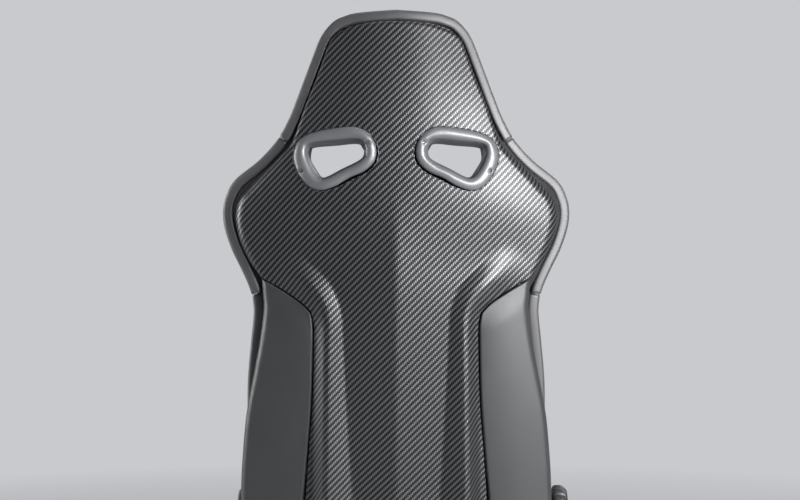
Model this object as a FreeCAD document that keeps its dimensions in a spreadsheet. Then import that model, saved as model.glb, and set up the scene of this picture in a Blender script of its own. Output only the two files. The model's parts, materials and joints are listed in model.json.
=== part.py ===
import FreeCAD, Part
import math
import os
import re
import Sketcher

# A reclining sport seat with a moulded carbon back shell, in millimetres.
# Frame: +Z up, the seat faces -Y, its rear is +Y, and the occupant's right is -X.
# The origin is the centre of the four floor bolts, at floor level.

Vec = FreeCAD.Vector

os.makedirs("parts", exist_ok=True)
doc = FreeCAD.newDocument("SportSeat")

# ---------------------------------------------------------------- driving sizes

SIZES = {
    # backrest: widths over the padded edge, and heights above the recline pivot
    "back_height": 853,
    "head_width": 254,
    "neck_width": 358,
    "shoulder_width": 584,
    "waist_width": 482,
    "hip_width": 536,
    "head_drop": 50,
    "neck_rise": 671,
    "shoulder_rise": 513,
    "waist_rise": 353,
    "tail_drop": 60,
    # backrest: how far the rear surface stands behind the pivot, and how far it bows
    "tail_back": 93,
    "waist_back": 186,
    "shoulder_back": 210,
    "neck_back": 218,
    "top_back": 198,
    "tail_bow": 60,
    "waist_bow": 60,
    "shoulder_bow": 82,
    "neck_bow": 45,
    "top_bow": 28,
    # shell, padded edge and side panels
    "shell_wall": 3.5,
    "panel_wall": 4,
    "rim_width": 18,
    "rim_depth": 50,
    "rim_gap": 2,
    "panel_half": 142,
    "panel_tip": 228,
    "panel_top": 358,
    "panel_rise": 404,
    "panel_foot": 10,
    # shoulder-belt openings
    "belt_half": 100,
    "belt_rise": 605,
    "bezel_width": 140,
    "bezel_height": 104,
    "slot_width": 90,
    "slot_height": 61,
    "bezel_proud": 8,
    "collar_wall": 2.5,
    "collar_meet": 46,
    "bezel_screw": 4,
    "bezel_screw_head": 7.2,
    # pads
    "pad_rear": 84,
    "pad_front": 118,
    "head_front": 96,
    "bolster_front": 168,
    "wing_front": 128,
    "pad_half": 124,
    "lumbar_low": 30,
    "lumbar_top": 140,
    "bolster_low": 78,
    "pad_gap": 0.4,
    # back frame and recliner
    "pivot_y": 200,
    "pivot_z": 195,
    "back_plate_x": 206,
    "plate_wall": 3,
    "plate_depth": 34,
    "plate_inset": 12,
    "frame_rise": 545,
    "tube_od": 25,
    "tube_wall": 2,
    "top_tube_rise": 522,
    "low_tube_rise": 82,
    "wire_dia": 4,
    "recliner_dia": 68,
    "recliner_wide": 18,
    "boss_dia": 76,
    "shaft_dia": 12,
    "shaft_fit": 0.05,
    "wheel_dia": 84,
    "wheel_wide": 26,
    "wheel_start": 273,
    "wheel_grip": 14,
    "cap_reach": 277,
    # seat base
    "base_front": 215,
    "base_low": 60,
    "base_wall": 3,
    "cushion_front": 300,
    "cushion_rear": 158,
    "cushion_half": 150,
    "cushion_base": 142,
    "cushion_top": 232,
    "thigh_top": 250,
    "nose_top": 262,
    "nose_deep": 90,
    "pan_wall": 1.5,
    "pan_drop": 132,
    "rail_bolt_x": 11,
    "rail_bolt_y": 140,
    "rail_bolt_dia": 8,
    "rail_bolt_head": 13,
    "shield_wall": 3,
    "shield_start": 232,
    "shield_reach": 266,
    # rails and feet
    "rail_gauge": 410,
    "rail_length": 380,
    "rail_wide": 40,
    "rail_lift": 18,
    "rail_high": 20,
    "rail_wall": 3,
    "rail_slot": 14,
    "web_wide": 8,
    "bolt_pitch": 430,
    "floor_bolt": 8.5,
    "foot_plate": 4,
    "foot_wide": 44,
    "foot_reach": 20,
    "travel": 110,
    "stop_long": 12,
    # slide latch
    "bar_dia": 12,
    "bar_half": 150,
    "bar_front": 292,
    "bar_high": 92,
    "latch_y": 70,
    "latch_high": 84,
    "latch_pin": 8,
    "spring_wire": 1.8,
}

# Clearances, each named for what it lets happen.
FIT = {
    "clip_gap": 0.3,
    "run_gap": 0.4,
    "part_gap": 0.5,
}

sheet = doc.addObject("Spreadsheet::Sheet", "Sizes")
for row, (alias, number) in enumerate({**SIZES, **FIT}.items(), start=1):
    sheet.set("A%d" % row, alias.replace("_", " "))
    sheet.set("B%d" % row, str(number))
    sheet.setAlias("B%d" % row, alias)
doc.recompute()

ALIASES = re.compile(r"\b(" + "|".join({**SIZES, **FIT}) + r")\b")
NODES = []


def bound(text):
    """Write an expression with every alias pointing at the sheet."""
    return ALIASES.sub(r"Sizes.\1", str(text))


def num(text):
    """Value of an expression of aliases, in millimetres."""
    return float(sheet.evalExpression(bound(text)))


def node(thing, label):
    """Name an object as one sub-part of the seat."""
    thing.Label = label
    NODES.append(thing)
    return thing


# ------------------------------------------------------- PartDesign building blocks


def new_body(label):
    return doc.addObject("PartDesign::Body", label)


def new_sketch(body, role, lift="0"):
    """Sketch on an origin plane: XY looks up, XZ looks along -Y, YZ along +X."""
    plane = [item for item in body.Origin.OriginFeatures if item.Role == role][0]
    sketch = body.newObject("Sketcher::SketchObject", body.Name + "_sketch")
    sketch.AttachmentSupport = [(plane, "")]
    sketch.MapMode = "FlatFace"
    sketch.setExpression("AttachmentOffset.Base.z", bound(lift))
    return sketch


def pin_point(sketch, edge, end, u, v):
    """Tie one end of an edge to the sketch origin by two expressions."""
    for kind, text in (("DistanceX", u), ("DistanceY", v)):
        index = sketch.addConstraint(Sketcher.Constraint(kind, -1, 1, edge, end, num(text)))
        sketch.setExpression("Constraints[%d]" % index, bound(text))


def polygon(sketch, points):
    """Closed outline of straight edges whose corners are expressions."""
    start = sketch.GeometryCount
    count = len(points)
    corners = [Vec(num(u), num(v), 0) for u, v in points]
    for i in range(count):
        sketch.addGeometry(Part.LineSegment(corners[i], corners[(i + 1) % count]))
    for i in range(count):
        link = Sketcher.Constraint("Coincident", start + i, 2, start + (i + 1) % count, 1)
        sketch.addConstraint(link)
    for i, (u, v) in enumerate(points):
        pin_point(sketch, start + i, 1, u, v)


def rectangle(sketch, u0, u1, v0, v1):
    polygon(sketch, [(u0, v0), (u1, v0), (u1, v1), (u0, v1)])


def circle(sketch, u, v, radius):
    edge = sketch.addGeometry(Part.Circle(Vec(num(u), num(v), 0), Vec(0, 0, 1), num(radius)))
    pin_point(sketch, edge, 3, u, v)
    index = sketch.addConstraint(Sketcher.Constraint("Radius", edge, num(radius)))
    sketch.setExpression("Constraints[%d]" % index, bound(radius))


def pad(body, sketch, length):
    feature = body.newObject("PartDesign::Pad", body.Name + "_pad")
    feature.Profile = sketch
    feature.setExpression("Length", bound(length))
    doc.recompute()
    return feature


def pocket(body, sketch, length, reverse=False):
    """Cut a pocket and prove that it took material away."""
    before = body.Shape.Volume
    feature = body.newObject("PartDesign::Pocket", body.Name + "_pocket")
    feature.Profile = sketch
    feature.Reversed = reverse
    feature.setExpression("Length", bound(length))
    doc.recompute()
    if body.Shape.Volume > before - 1:
        raise ValueError(body.Name + ": the pocket cut nothing")
    return feature


def fillet(body, radius, wanted):
    """Round the edges that the test picks out."""
    base = body.Tip
    names = []
    for i, edge in enumerate(base.Shape.Edges, start=1):
        if wanted(edge):
            names.append("Edge%d" % i)
    feature = body.newObject("PartDesign::Fillet", body.Name + "_fillet")
    feature.Base = (base, names)
    feature.setExpression("Radius", bound(radius))
    doc.recompute()
    return feature


# ------------------------------------------------------------ Part building blocks

ALONG = {
    "x": FreeCAD.Rotation(Vec(0, 1, 0), 90),
    "y": FreeCAD.Rotation(Vec(1, 0, 0), -90),
    "z": FreeCAD.Rotation(),
}


def place(thing, x, y, z):
    for axis, text in zip("xyz", (x, y, z)):
        thing.setExpression("Placement.Base." + axis, bound(text))


def cylinder(name, radius, length, axis, x, y, z):
    """Cylinder that starts at a point and runs along an axis."""
    rod = doc.addObject("Part::Cylinder", name)
    rod.setExpression("Radius", bound(radius))
    rod.setExpression("Height", bound(length))
    rod.Placement = FreeCAD.Placement(Vec(), ALONG[axis])
    place(rod, x, y, z)
    return rod


def block(name, wide, deep, high, x, y, z):
    """Box given by its size and its low corner."""
    box = doc.addObject("Part::Box", name)
    for prop, text in (("Length", wide), ("Width", deep), ("Height", high)):
        box.setExpression(prop, bound(text))
    place(box, x, y, z)
    return box


def joined(name, pieces):
    fuse = doc.addObject("Part::MultiFuse", name)
    fuse.Shapes = pieces
    return fuse


def cut(name, base, tool):
    result = doc.addObject("Part::Cut", name)
    result.Base = base
    result.Tool = tool
    return result


def group(name, pieces):
    """Identical pieces that share one node as separate solids."""
    compound = doc.addObject("Part::Compound", name)
    compound.Links = pieces
    return compound


def shaped(name, shape):
    """Sub-part whose curved shape is worked out from the sheet's sizes."""
    feature = doc.addObject("Part::Feature", name)
    feature.Shape = shape
    feature.Placement = FreeCAD.Placement()
    return feature


SIDES = (("left", 1), ("right", -1))


def lift_from(sign, inner, wall):
    """Offset along X at which a plate starts, so that it spans inner to inner + wall."""
    return inner if sign > 0 else "-(%s)-(%s)" % (inner, wall)


# ------------------------------------------------------------------ rails and feet


def lower_rail(side, sign):
    """Channel with lips turned in over the upper rail's flange."""
    body = new_body("lower_rail_" + side)
    sketch = new_sketch(body, "XZ_Plane", "-rail_length/2")
    middle = "%d*rail_gauge/2" % sign
    top = "rail_lift+rail_high"
    right = [
        ("rail_wide/2", "rail_lift"),
        ("rail_wide/2", top),
        ("rail_slot/2", top),
        ("rail_slot/2", top + "-rail_wall"),
        ("rail_wide/2-rail_wall", top + "-rail_wall"),
        ("rail_wide/2-rail_wall", "rail_lift+rail_wall"),
    ]
    outline = ["%s+%s" % (middle, u) for u, v in right]
    mirrored = ["%s-(%s)" % (middle, u) for u, v in right]
    points = [(u, right[i][1]) for i, u in enumerate(outline)]
    points += [(mirrored[i], right[i][1]) for i in reversed(range(len(right)))]
    polygon(sketch, points)
    pad(body, sketch, "rail_length")
    node(body, "lower_rail_" + side)


def foot(name, sign, end):
    """Pressed foot: a riser under the rail's end and a lug with the floor bolt hole."""
    body = new_body(name)
    middle = "%d*rail_gauge/2" % sign
    start = middle + "-foot_wide/2"
    sketch = new_sketch(body, "YZ_Plane", start)
    tip = "%d*(bolt_pitch/2+foot_reach)" % end
    back = "%d*(rail_length/2-2*foot_reach)" % end
    riser = "%d*(rail_length/2+0.3)" % end
    polygon(sketch, [(tip, "0"), (back, "0"), (back, "rail_lift"),
                     (riser, "rail_lift"), (riser, "foot_plate"), (tip, "foot_plate")])
    pad(body, sketch, "foot_wide")
    hole = new_sketch(body, "XY_Plane")
    circle(hole, middle, "%d*bolt_pitch/2" % end, "floor_bolt/2")
    pocket(body, hole, "foot_plate", reverse=True)
    return body


def upper_rail(side, sign):
    """Runner: a flange held in the channel, a web, and a top flange for the seat."""
    body = new_body("upper_rail_" + side)
    sketch = new_sketch(body, "XZ_Plane", "-rail_length/2")
    middle = "%d*rail_gauge/2" % sign
    low = "rail_lift+rail_wall+5"
    roof = "base_low"
    right = [
        ("rail_wide/2-rail_wall-2", low),
        ("rail_wide/2-rail_wall-2", low + "+4"),
        ("web_wide/2", low + "+4"),
        ("web_wide/2", roof + "-4"),
        ("rail_wide/2-3", roof + "-4"),
        ("rail_wide/2-3", roof),
    ]
    points = [("%s+%s" % (middle, u), v) for u, v in right]
    points += [("%s-(%s)" % (middle, u), v) for u, v in reversed(right)]
    polygon(sketch, points)
    pad(body, sketch, "rail_length")
    slot = new_sketch(body, "XY_Plane", low)
    rectangle(slot, middle + "-3.5", middle + "+3.5",
              "-travel-stop_long/2-1", "travel+stop_long/2+1")
    pocket(body, slot, "4", reverse=True)
    for spot in (-1, 1):
        hole = new_sketch(body, "XY_Plane", roof)
        circle(hole, "%s+%d*rail_bolt_x" % (middle, sign), "%d*rail_bolt_y" % spot,
               "rail_bolt_dia/2+0.2")
        pocket(body, hole, "4")
    node(body, "upper_rail_" + side)


def make_rails():
    for side, sign in SIDES:
        lower_rail(side, sign)
    for name, end in (("front_feet", -1), ("rear_feet", 1)):
        pair = [foot(name + "_" + side, sign, end) for side, sign in SIDES]
        node(group(name, pair), name)
    stops = []
    glides = []
    for side, sign in SIDES:
        middle = "%d*rail_gauge/2" % sign
        stops.append(block("stop_" + side, "5", "stop_long", "8.5", middle + "-2.5",
                           "-stop_long/2", "rail_lift+rail_wall"))
        for spot in (-1, 1):
            glides.append(block("glide_%s_%d" % (side, spot + 1), "rail_wide-2*rail_wall-5", "30",
                                "5-run_gap", middle + "-(rail_wide-2*rail_wall-5)/2",
                                "%d*(rail_length/2-20)-15" % spot,
                                "rail_lift+rail_wall+run_gap"))
    node(group("rail_stops", stops), "rail_stops")
    for side, sign in SIDES:
        upper_rail(side, sign)
    node(group("rail_glides", glides), "rail_glides")


# --------------------------------------------------------------------- seat base


def base_side(side, sign):
    """Side plate from the front tube to the recliner, with a foot flange on the rail."""
    body = new_body("base_side_" + side)
    inner = "shield_start-clip_gap-base_wall"
    sketch = new_sketch(body, "YZ_Plane", lift_from(sign, inner, "base_wall"))
    boss = "boss_dia/2"
    polygon(sketch, [
        ("-base_front", "base_low"),
        ("pivot_y-40", "base_low"),
        ("pivot_y+8", "pivot_z-70"),
        ("pivot_y+0.72*" + boss, "pivot_z-0.70*" + boss),
        ("pivot_y+" + boss, "pivot_z-0.30*" + boss),
        ("pivot_y+" + boss, "pivot_z+0.30*" + boss),
        ("pivot_y+0.72*" + boss, "pivot_z+0.70*" + boss),
        ("pivot_y-0.72*" + boss, "pivot_z+0.70*" + boss),
        ("pivot_y-" + boss, "pivot_z+0.30*" + boss),
        ("pivot_y-70", "cushion_base"),
        ("-base_front", "cushion_base"),
    ])
    circle(sketch, "pivot_y", "pivot_z", "shaft_dia/2+1")
    for y, z in (("-base_front+25", "base_low+64"), ("pivot_y-90", "base_low+45")):
        circle(sketch, y, z, "tube_od/2+0.05")
    pad(body, sketch, "base_wall")
    flange = new_sketch(body, "XY_Plane", "base_low")
    near = "%d*(rail_gauge/2-rail_wide/2+3)" % sign
    far = "%d*(%s+1)" % (sign, inner)
    rectangle(flange, near, far, "-rail_length/2+10", "rail_length/2-30")
    for spot in (-1, 1):
        circle(flange, "%d*(rail_gauge/2+rail_bolt_x)" % sign, "%d*rail_bolt_y" % spot,
               "rail_bolt_dia/2+0.2")
    pad(body, flange, "base_wall")
    node(body, "base_side_" + side)


def cross_tube(name, y, z):
    """Tube right through both side plates, with a little showing outside."""
    body = new_body(name)
    sketch = new_sketch(body, "YZ_Plane", "-(shield_start+1)")
    circle(sketch, y, z, "tube_od/2")
    circle(sketch, y, z, "tube_od/2-tube_wall")
    pad(body, sketch, "2*(shield_start+1)")
    node(body, name)


def rail_bolt(name, sign, spot):
    x = "%d*(rail_gauge/2+rail_bolt_x)" % sign
    y = "%d*rail_bolt_y" % spot
    head = cylinder(name + "_head", "rail_bolt_head/2", "5", "z", x, y, "base_low+base_wall")
    shank = cylinder(name + "_shank", "rail_bolt_dia/2", "base_wall+6", "z", x, y, "base_low-4")
    return joined(name, [head, shank])


def seat_pan():
    """Sheet-steel pan that carries the cushion between the side plates."""
    body = new_body("seat_pan")
    half = "shield_start-clip_gap-base_wall-part_gap"
    sketch = new_sketch(body, "YZ_Plane", "-(%s)" % half)
    top = "cushion_base-0.3"
    drop = "pan_drop"
    polygon(sketch, [
        ("-base_front-30", top + "-20"),
        ("-base_front-30+pan_wall", top + "-20"),
        ("-base_front-30+pan_wall", top + "-pan_wall"),
        ("-base_front+60", top + "-pan_wall"),
        ("-base_front+90", drop + "-pan_wall"),
        ("pivot_y-70", drop + "-pan_wall"),
        ("pivot_y-46", top),
        ("pivot_y-48", top),
        ("pivot_y-71", drop),
        ("-base_front+89", drop),
        ("-base_front+59", top),
        ("-base_front-30", top),
    ])
    pad(body, sketch, "2*(%s)" % half)
    node(body, "seat_pan")


def soft_block(name, half_from, half_to, y0, y1, z0, z1, radius):
    """Foam block with rounded upper edges; half_from and half_to are along X."""
    body = new_body(name)
    sketch = new_sketch(body, "XY_Plane", z0)
    rectangle(sketch, half_from, half_to, y0, y1)
    pad(body, sketch, "%s-(%s)" % (z1, z0))
    height = num(z1)
    fillet(body, radius, lambda edge: min(v.Z for v in edge.Vertexes) > height - 1)
    node(body, name)


def make_cushion():
    inside = "cushion_half"
    outer = "shield_start-clip_gap-base_wall-part_gap"
    nose = "-cushion_front+nose_deep"
    soft_block("cushion_centre", "-(%s)" % inside, inside, nose + "+pad_gap", "cushion_rear",
               "cushion_base", "cushion_top", "14")
    soft_block("cushion_nose", "-(%s)" % inside, inside, "-cushion_front", nose,
               "cushion_base", "nose_top", "24")
    for side, sign in SIDES:
        ends = [inside + "+pad_gap", outer]
        if sign < 0:
            ends = ["-(%s)" % outer, "-(%s+pad_gap)" % inside]
        soft_block("thigh_bolster_" + side, ends[0], ends[1], "-cushion_front+12",
                   "cushion_rear-6", "cushion_base", "thigh_top+12", "22")


def side_shield(side, sign):
    """Moulded cover over the side plate, open on its inner side."""
    body = new_body("side_shield_" + side)
    deep = "shield_reach-shield_start"
    sketch = new_sketch(body, "YZ_Plane", lift_from(sign, "shield_start", deep))
    low = "base_low+8"
    outline = [
        ("-cushion_front+30", "cushion_base-12"),
        ("-cushion_front+60", low + "+20"),
        ("-base_front+60", low),
        ("pivot_y-60", low),
        ("pivot_y-4", "pivot_z-52"),
        ("pivot_y+30", "pivot_z-32"),
        ("pivot_y+34", "pivot_z-4"),
        ("pivot_y+6", "pivot_z+36"),
        ("pivot_y-40", "pivot_z+30"),
        ("pivot_y-90", "cushion_base+24"),
        ("-base_front", "cushion_base+32"),
        ("-cushion_front+30", "cushion_base+20"),
    ]
    polygon(sketch, outline)
    pad(body, sketch, deep)
    inner_face = num("shield_start")
    fillet(body, "6", lambda edge: min(abs(v.X) for v in edge.Vertexes) > inner_face + 1)
    hollow = new_sketch(body, "YZ_Plane", "%d*shield_start" % sign)
    middle_y = "pivot_y/2-cushion_front/2"
    middle_z = "base_low+60"
    shrunk = []
    for y, z in outline:
        shrunk.append(("%s+(%s-(%s))*0.955" % (middle_y, y, middle_y),
                       "%s+(%s-(%s))*0.90" % (middle_z, z, middle_z)))
    polygon(hollow, shrunk)
    pocket(body, hollow, deep + "-shield_wall", reverse=sign > 0)
    shaft = new_sketch(body, "YZ_Plane", "%d*shield_start" % sign)
    circle(shaft, "pivot_y", "pivot_z", "shaft_dia/2+1")
    pocket(body, shaft, deep, reverse=sign > 0)
    node(body, "side_shield_" + side)


# ---------------------------------------------------------------------- recliner


def recliner_gear(side, sign):
    """Sealed recliner gear between the back plate and the base plate."""
    body = new_body("recliner_gear_" + side)
    inner = "back_plate_x+plate_wall+clip_gap"
    start = lift_from(sign, inner, "recliner_wide")
    sketch = new_sketch(body, "YZ_Plane", start)
    circle(sketch, "pivot_y", "pivot_z", "recliner_dia/2")
    circle(sketch, "pivot_y", "pivot_z", "shaft_dia/2+shaft_fit")
    pad(body, sketch, "recliner_wide")
    node(body, "recliner_gear_" + side)


def make_drive():
    """Cross shaft, handwheel on the occupant's right and a cap on the left."""
    left_end = "shield_start+6"
    shaft = new_body("sync_shaft")
    sketch = new_sketch(shaft, "YZ_Plane", "-(wheel_start+wheel_grip)")
    circle(sketch, "pivot_y", "pivot_z", "shaft_dia/2")
    pad(shaft, sketch, "wheel_start+wheel_grip+%s" % left_end)
    node(shaft, "sync_shaft")

    wheel = new_body("handwheel")
    sketch = new_sketch(wheel, "XZ_Plane", "-pivot_y")
    # half section, turned about the shaft's line
    rim = "wheel_dia/2"
    face = "-(wheel_start+wheel_wide)"
    back = "-wheel_start"
    polygon(sketch, [
        (back, "pivot_z"),
        (back, "pivot_z+%s-3" % rim),
        (back + "-3", "pivot_z+" + rim),
        (back + "-11", "pivot_z+" + rim),
        (face + "+2", "pivot_z+%s-9" % rim),
        (face, "pivot_z+%s-12" % rim),
        (face, "pivot_z+%s-24" % rim),
        (face + "+5", "pivot_z+%s-26" % rim),
        (face + "+5", "pivot_z"),
    ])
    turn = wheel.newObject("PartDesign::Revolution", "handwheel_turn")
    turn.Profile = sketch
    axis = sketch.addGeometry(Part.LineSegment(Vec(-400, 0, 0), Vec(-200, 0, 0)), True)
    pin_point(sketch, axis, 1, "-400", "pivot_z")
    pin_point(sketch, axis, 2, "-200", "pivot_z")
    turn.ReferenceAxis = (sketch, ["Axis0"])
    turn.Angle = 360
    doc.recompute()
    grips = new_sketch(wheel, "YZ_Plane", back)
    count = 16
    for i in range(count):
        angle = 2 * math.pi * i / count
        circle(grips, "pivot_y+(%s+2.6)*%.6f" % (rim, math.cos(angle)),
               "pivot_z+(%s+2.6)*%.6f" % (rim, math.sin(angle)), "4")
    pocket(wheel, grips, "wheel_wide")
    bore = new_sketch(wheel, "YZ_Plane", back)
    circle(bore, "pivot_y", "pivot_z", "shaft_dia/2+shaft_fit")
    pocket(wheel, bore, "wheel_grip+clip_gap")
    node(wheel, "handwheel")

    cap = new_body("wheel_cap")
    sketch = new_sketch(cap, "YZ_Plane", face)
    circle(sketch, "pivot_y", "pivot_z", "%s-26.4" % rim)
    pad(cap, sketch, "5-shaft_fit")
    node(cap, "wheel_cap")


def recliner_cap():
    """Rounded cap over the recliner on the side without the handwheel."""
    body = new_body("recliner_cap")
    sketch = new_sketch(body, "YZ_Plane", "shield_reach+clip_gap")
    circle(sketch, "pivot_y", "pivot_z", "boss_dia/2-2")
    pad(body, sketch, "cap_reach-shield_reach-clip_gap")
    outer = num("cap_reach")
    fillet(body, "6", lambda edge: edge.CenterOfMass.x > outer - 0.1)
    node(body, "recliner_cap")


# ------------------------------------------------------------------- slide latch


def rod_along(points, radius, bend):
    """Round bar along straight runs joined by tangent arcs."""
    edges = []
    last = points[0]
    for i in range(1, len(points) - 1):
        corner = points[i]
        come = (points[i - 1] - corner).normalize()
        leave = (points[i + 1] - corner).normalize()
        half = come.getAngle(leave) / 2
        reach = bend / math.tan(half)
        start = corner + come * reach
        finish = corner + leave * reach
        middle = (come + leave).normalize()
        centre = corner + middle * (bend / math.sin(half))
        edges.append(Part.LineSegment(last, start).toShape())
        edges.append(Part.Arc(start, centre - middle * bend, finish).toShape())
        last = finish
    edges.append(Part.LineSegment(last, points[-1]).toShape())
    path = Part.Wire(edges)
    heading = (points[1] - points[0]).normalize()
    section = Part.Wire(Part.Circle(points[0], heading, radius).toShape())
    return path.makePipeShell([section], True, True)


def make_latch():
    """Bar under the cushion that lifts a hook off each rail."""
    half = num("bar_half")
    front = -num("bar_front")
    high = num("bar_high")
    rear_y = -num("latch_y")
    rear_z = num("latch_high")
    reach = num("rail_gauge/2-rail_wide/2-10")
    pin = num("latch_pin")
    wire = num("spring_wire/2")
    points = [
        Vec(reach, rear_y - 14, rear_z),
        Vec(reach, front + 60, high - 4),
        Vec(half, front, high),
        Vec(-half, front, high),
        Vec(-reach, front + 60, high - 4),
        Vec(-reach, rear_y - 14, rear_z),
    ]
    node(shaped("slide_bar", rod_along(points, num("bar_dia/2"), 28)), "slide_bar")
    pins = []
    coils = []
    for side, sign in SIDES:
        body = new_body("latch_lever_" + side)
        x = "rail_gauge/2-rail_wide/2-10"
        sketch = new_sketch(body, "YZ_Plane", lift_from(sign, x + "-4", "8"))
        polygon(sketch, [
            ("-latch_y-13.7", "latch_high-7"),
            ("-latch_y+44", "latch_high-7"),
            ("-latch_y+44", "rail_lift+rail_high+run_gap"),
            ("-latch_y+54", "rail_lift+rail_high+run_gap"),
            ("-latch_y+56", "latch_high+3"),
            ("-latch_y+10", "latch_high+9"),
            ("-latch_y-13.7", "latch_high+7"),
        ])
        circle(sketch, "-latch_y", "latch_high", "latch_pin/2+shaft_fit")
        pad(body, sketch, "8")
        node(body, "latch_lever_" + side)
        # pin from the side plate's flange bracket through the lever
        start = sign * (num(x) - 8)
        length = num("shield_start-clip_gap-base_wall-clip_gap") - (num(x) - 8)
        rod = cylinder("latch_pin_" + side, "latch_pin/2", "%f" % length, "x",
                       "%f" % min(start, start + sign * length), "-latch_y", "latch_high")
        pins.append(rod)
        # return spring round the pin, outside the lever
        coil_radius = pin / 2 + wire + 0.5
        turns = Part.makeHelix(2.6, 15.6, coil_radius)
        section = Part.Wire(Part.Circle(Vec(coil_radius, 0, 0), Vec(0, 1, 0), wire).toShape())
        coil = Part.Wire(turns.Edges).makePipeShell([section], True, True)
        ends = (sign * (num(x) + 6), sign * (num(x) + 22))
        coil.Placement = FreeCAD.Placement(Vec(min(ends), rear_y, rear_z), ALONG["x"])
        coils.append(coil)
    node(group("latch_pins", pins), "latch_pins")
    node(shaped("latch_springs", Part.Compound(coils)), "latch_springs")


# ----------------------------------------------- curved backrest: shared surfaces


def stations():
    """Height, rear set-back, half width and bow of the rear surface, low to high."""
    rows = []
    for rise, back, wide, bow in (
        ("-tail_drop-2", "tail_back", "hip_width", "tail_bow"),
        ("waist_rise", "waist_back", "waist_width", "waist_bow"),
        ("shoulder_rise", "shoulder_back", "shoulder_width", "shoulder_bow"),
        ("neck_rise", "neck_back", "neck_width", "neck_bow"),
        ("back_height+2", "top_back", "head_width", "top_bow"),
    ):
        rows.append((num("pivot_z+" + rise), num("pivot_y+" + back), num(wide) / 2, num(bow)))
    return rows


def slope(rows, i, column):
    """Change of one column with height at a station, taken from its neighbours."""
    low = rows[max(0, i - 1)]
    high = rows[min(len(rows) - 1, i + 1)]
    return (high[column] - low[column]) / (high[0] - low[0])


def section_at(z):
    """Set-back, half width and bow at any height, blended smoothly between stations."""
    rows = stations()
    i = max(k for k in range(len(rows) - 1) if rows[k][0] <= z + 1e-6)
    step = rows[i + 1][0] - rows[i][0]
    u = (z - rows[i][0]) / step
    blended = []
    for column in (1, 2, 3):
        start, end = rows[i][column], rows[i + 1][column]
        leave, arrive = slope(rows, i, column) * step, slope(rows, i + 1, column) * step
        blended.append((2 * u**3 - 3 * u**2 + 1) * start + (u**3 - 2 * u**2 + u) * leave
                       + (3 * u**2 - 2 * u**3) * end + (u**3 - u**2) * arrive)
    return blended


def layer(rear, front):
    """Solid between two depths below the rear surface, wider than the seat."""
    margin = 16
    wires = []
    bottom = stations()[0][0]
    top = stations()[-1][0]
    count = 11
    for i in range(count):
        z = bottom + (top - bottom) * i / (count - 1)
        y, half, bow = section_at(z)
        radius = (half * half + bow * bow) / (2 * bow)
        spread = math.asin(min(0.98, (half + margin) / radius))
        centre = y - radius
        arcs = []
        for depth in (rear, front):
            r = radius - depth
            ends = [Vec(r * math.sin(a), centre + r * math.cos(a), z)
                    for a in (-spread, 0, spread)]
            arcs.append(ends)
        back, face = arcs
        wires.append(Part.Wire([
            Part.Arc(back[0], back[1], back[2]).toShape(),
            Part.LineSegment(back[2], face[2]).toShape(),
            Part.Arc(face[2], face[1], face[0]).toShape(),
            Part.LineSegment(face[0], back[0]).toShape(),
        ]))
    return Part.makeLoft(wires, True, False)


def outline_points():
    """Outer edge of the padded backrest on the +X side, from its foot to its top."""
    pz = num("pivot_z")
    top = pz + num("back_height")
    head = num("head_width") / 2
    neck = num("neck_width") / 2
    shoulder = num("shoulder_width") / 2
    waist = num("waist_width") / 2
    hip = num("hip_width") / 2
    neck_z = pz + num("neck_rise")
    shoulder_z = pz + num("shoulder_rise")
    waist_z = pz + num("waist_rise")
    head_z = top - num("head_drop")
    climb = neck_z - shoulder_z
    fall = shoulder_z - waist_z
    return [
        (hip, pz - num("tail_drop")),
        (hip, pz + 20),
        (waist + 0.62 * (hip - waist), pz + 130),
        (waist + 0.12 * (hip - waist), waist_z - 60),
        (waist, waist_z),
        (waist + 0.10 * (shoulder - waist), waist_z + 0.22 * fall),
        (waist + 0.70 * (shoulder - waist), waist_z + 0.64 * fall),
        (shoulder, shoulder_z),
        (neck + 0.90 * (shoulder - neck), shoulder_z + 0.27 * climb),
        (neck + 0.45 * (shoulder - neck), shoulder_z + 0.58 * climb),
        (neck, neck_z),
        (head + 0.51 * (neck - head), neck_z + 0.50 * (head_z - neck_z)),
        (head, head_z),
        (0.80 * head, top - 0.33 * num("head_drop")),
        (0.47 * head, top),
    ]


def inset(points, distances):
    """Move each point of the half outline inwards, square to the outline."""
    moved = []
    last = len(points) - 1
    for i, (x, z) in enumerate(points):
        before = points[max(0, i - 1)]
        after = points[min(last, i + 1)]
        along = Vec(after[0] - before[0], 0, after[1] - before[1]).normalize()
        if i == 0:
            along = Vec(0, 0, 1)
        if i == last:
            along = Vec(-1, 0, 0)
        moved.append((x - along.z * distances[i], z + along.x * distances[i]))
    return moved


def half_face(points):
    """Flat face inside a half outline and its mirror image, in the XZ plane."""
    rising = [Vec(x, 0, z) for x, z in points]
    falling = [Vec(-x, 0, z) for x, z in reversed(points)]
    right = Part.BSplineCurve()
    right.interpolate(rising)
    left = Part.BSplineCurve()
    left.interpolate(falling)
    top = Part.LineSegment(rising[-1], falling[0])
    bottom = Part.LineSegment(falling[-1], rising[0])
    return Part.Face(Part.Wire([edge.toShape() for edge in (right, top, left, bottom)]))


def prism(face):
    """Bar of a flat XZ face, deep enough for the whole backrest."""
    return face.extrude(Vec(0, num("pivot_y") * 4, 0))


def flat(points):
    """Flat face with straight edges in the XZ plane."""
    corners = [Vec(x, 0, z) for x, z in points]
    return Part.Face(Part.makePolygon(corners + corners[:1]))


def band(x0, x1, z0, z1):
    """Upright slab between two sides and two heights."""
    return prism(flat([(x0, z0), (x1, z0), (x1, z1), (x0, z1)]))


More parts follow.
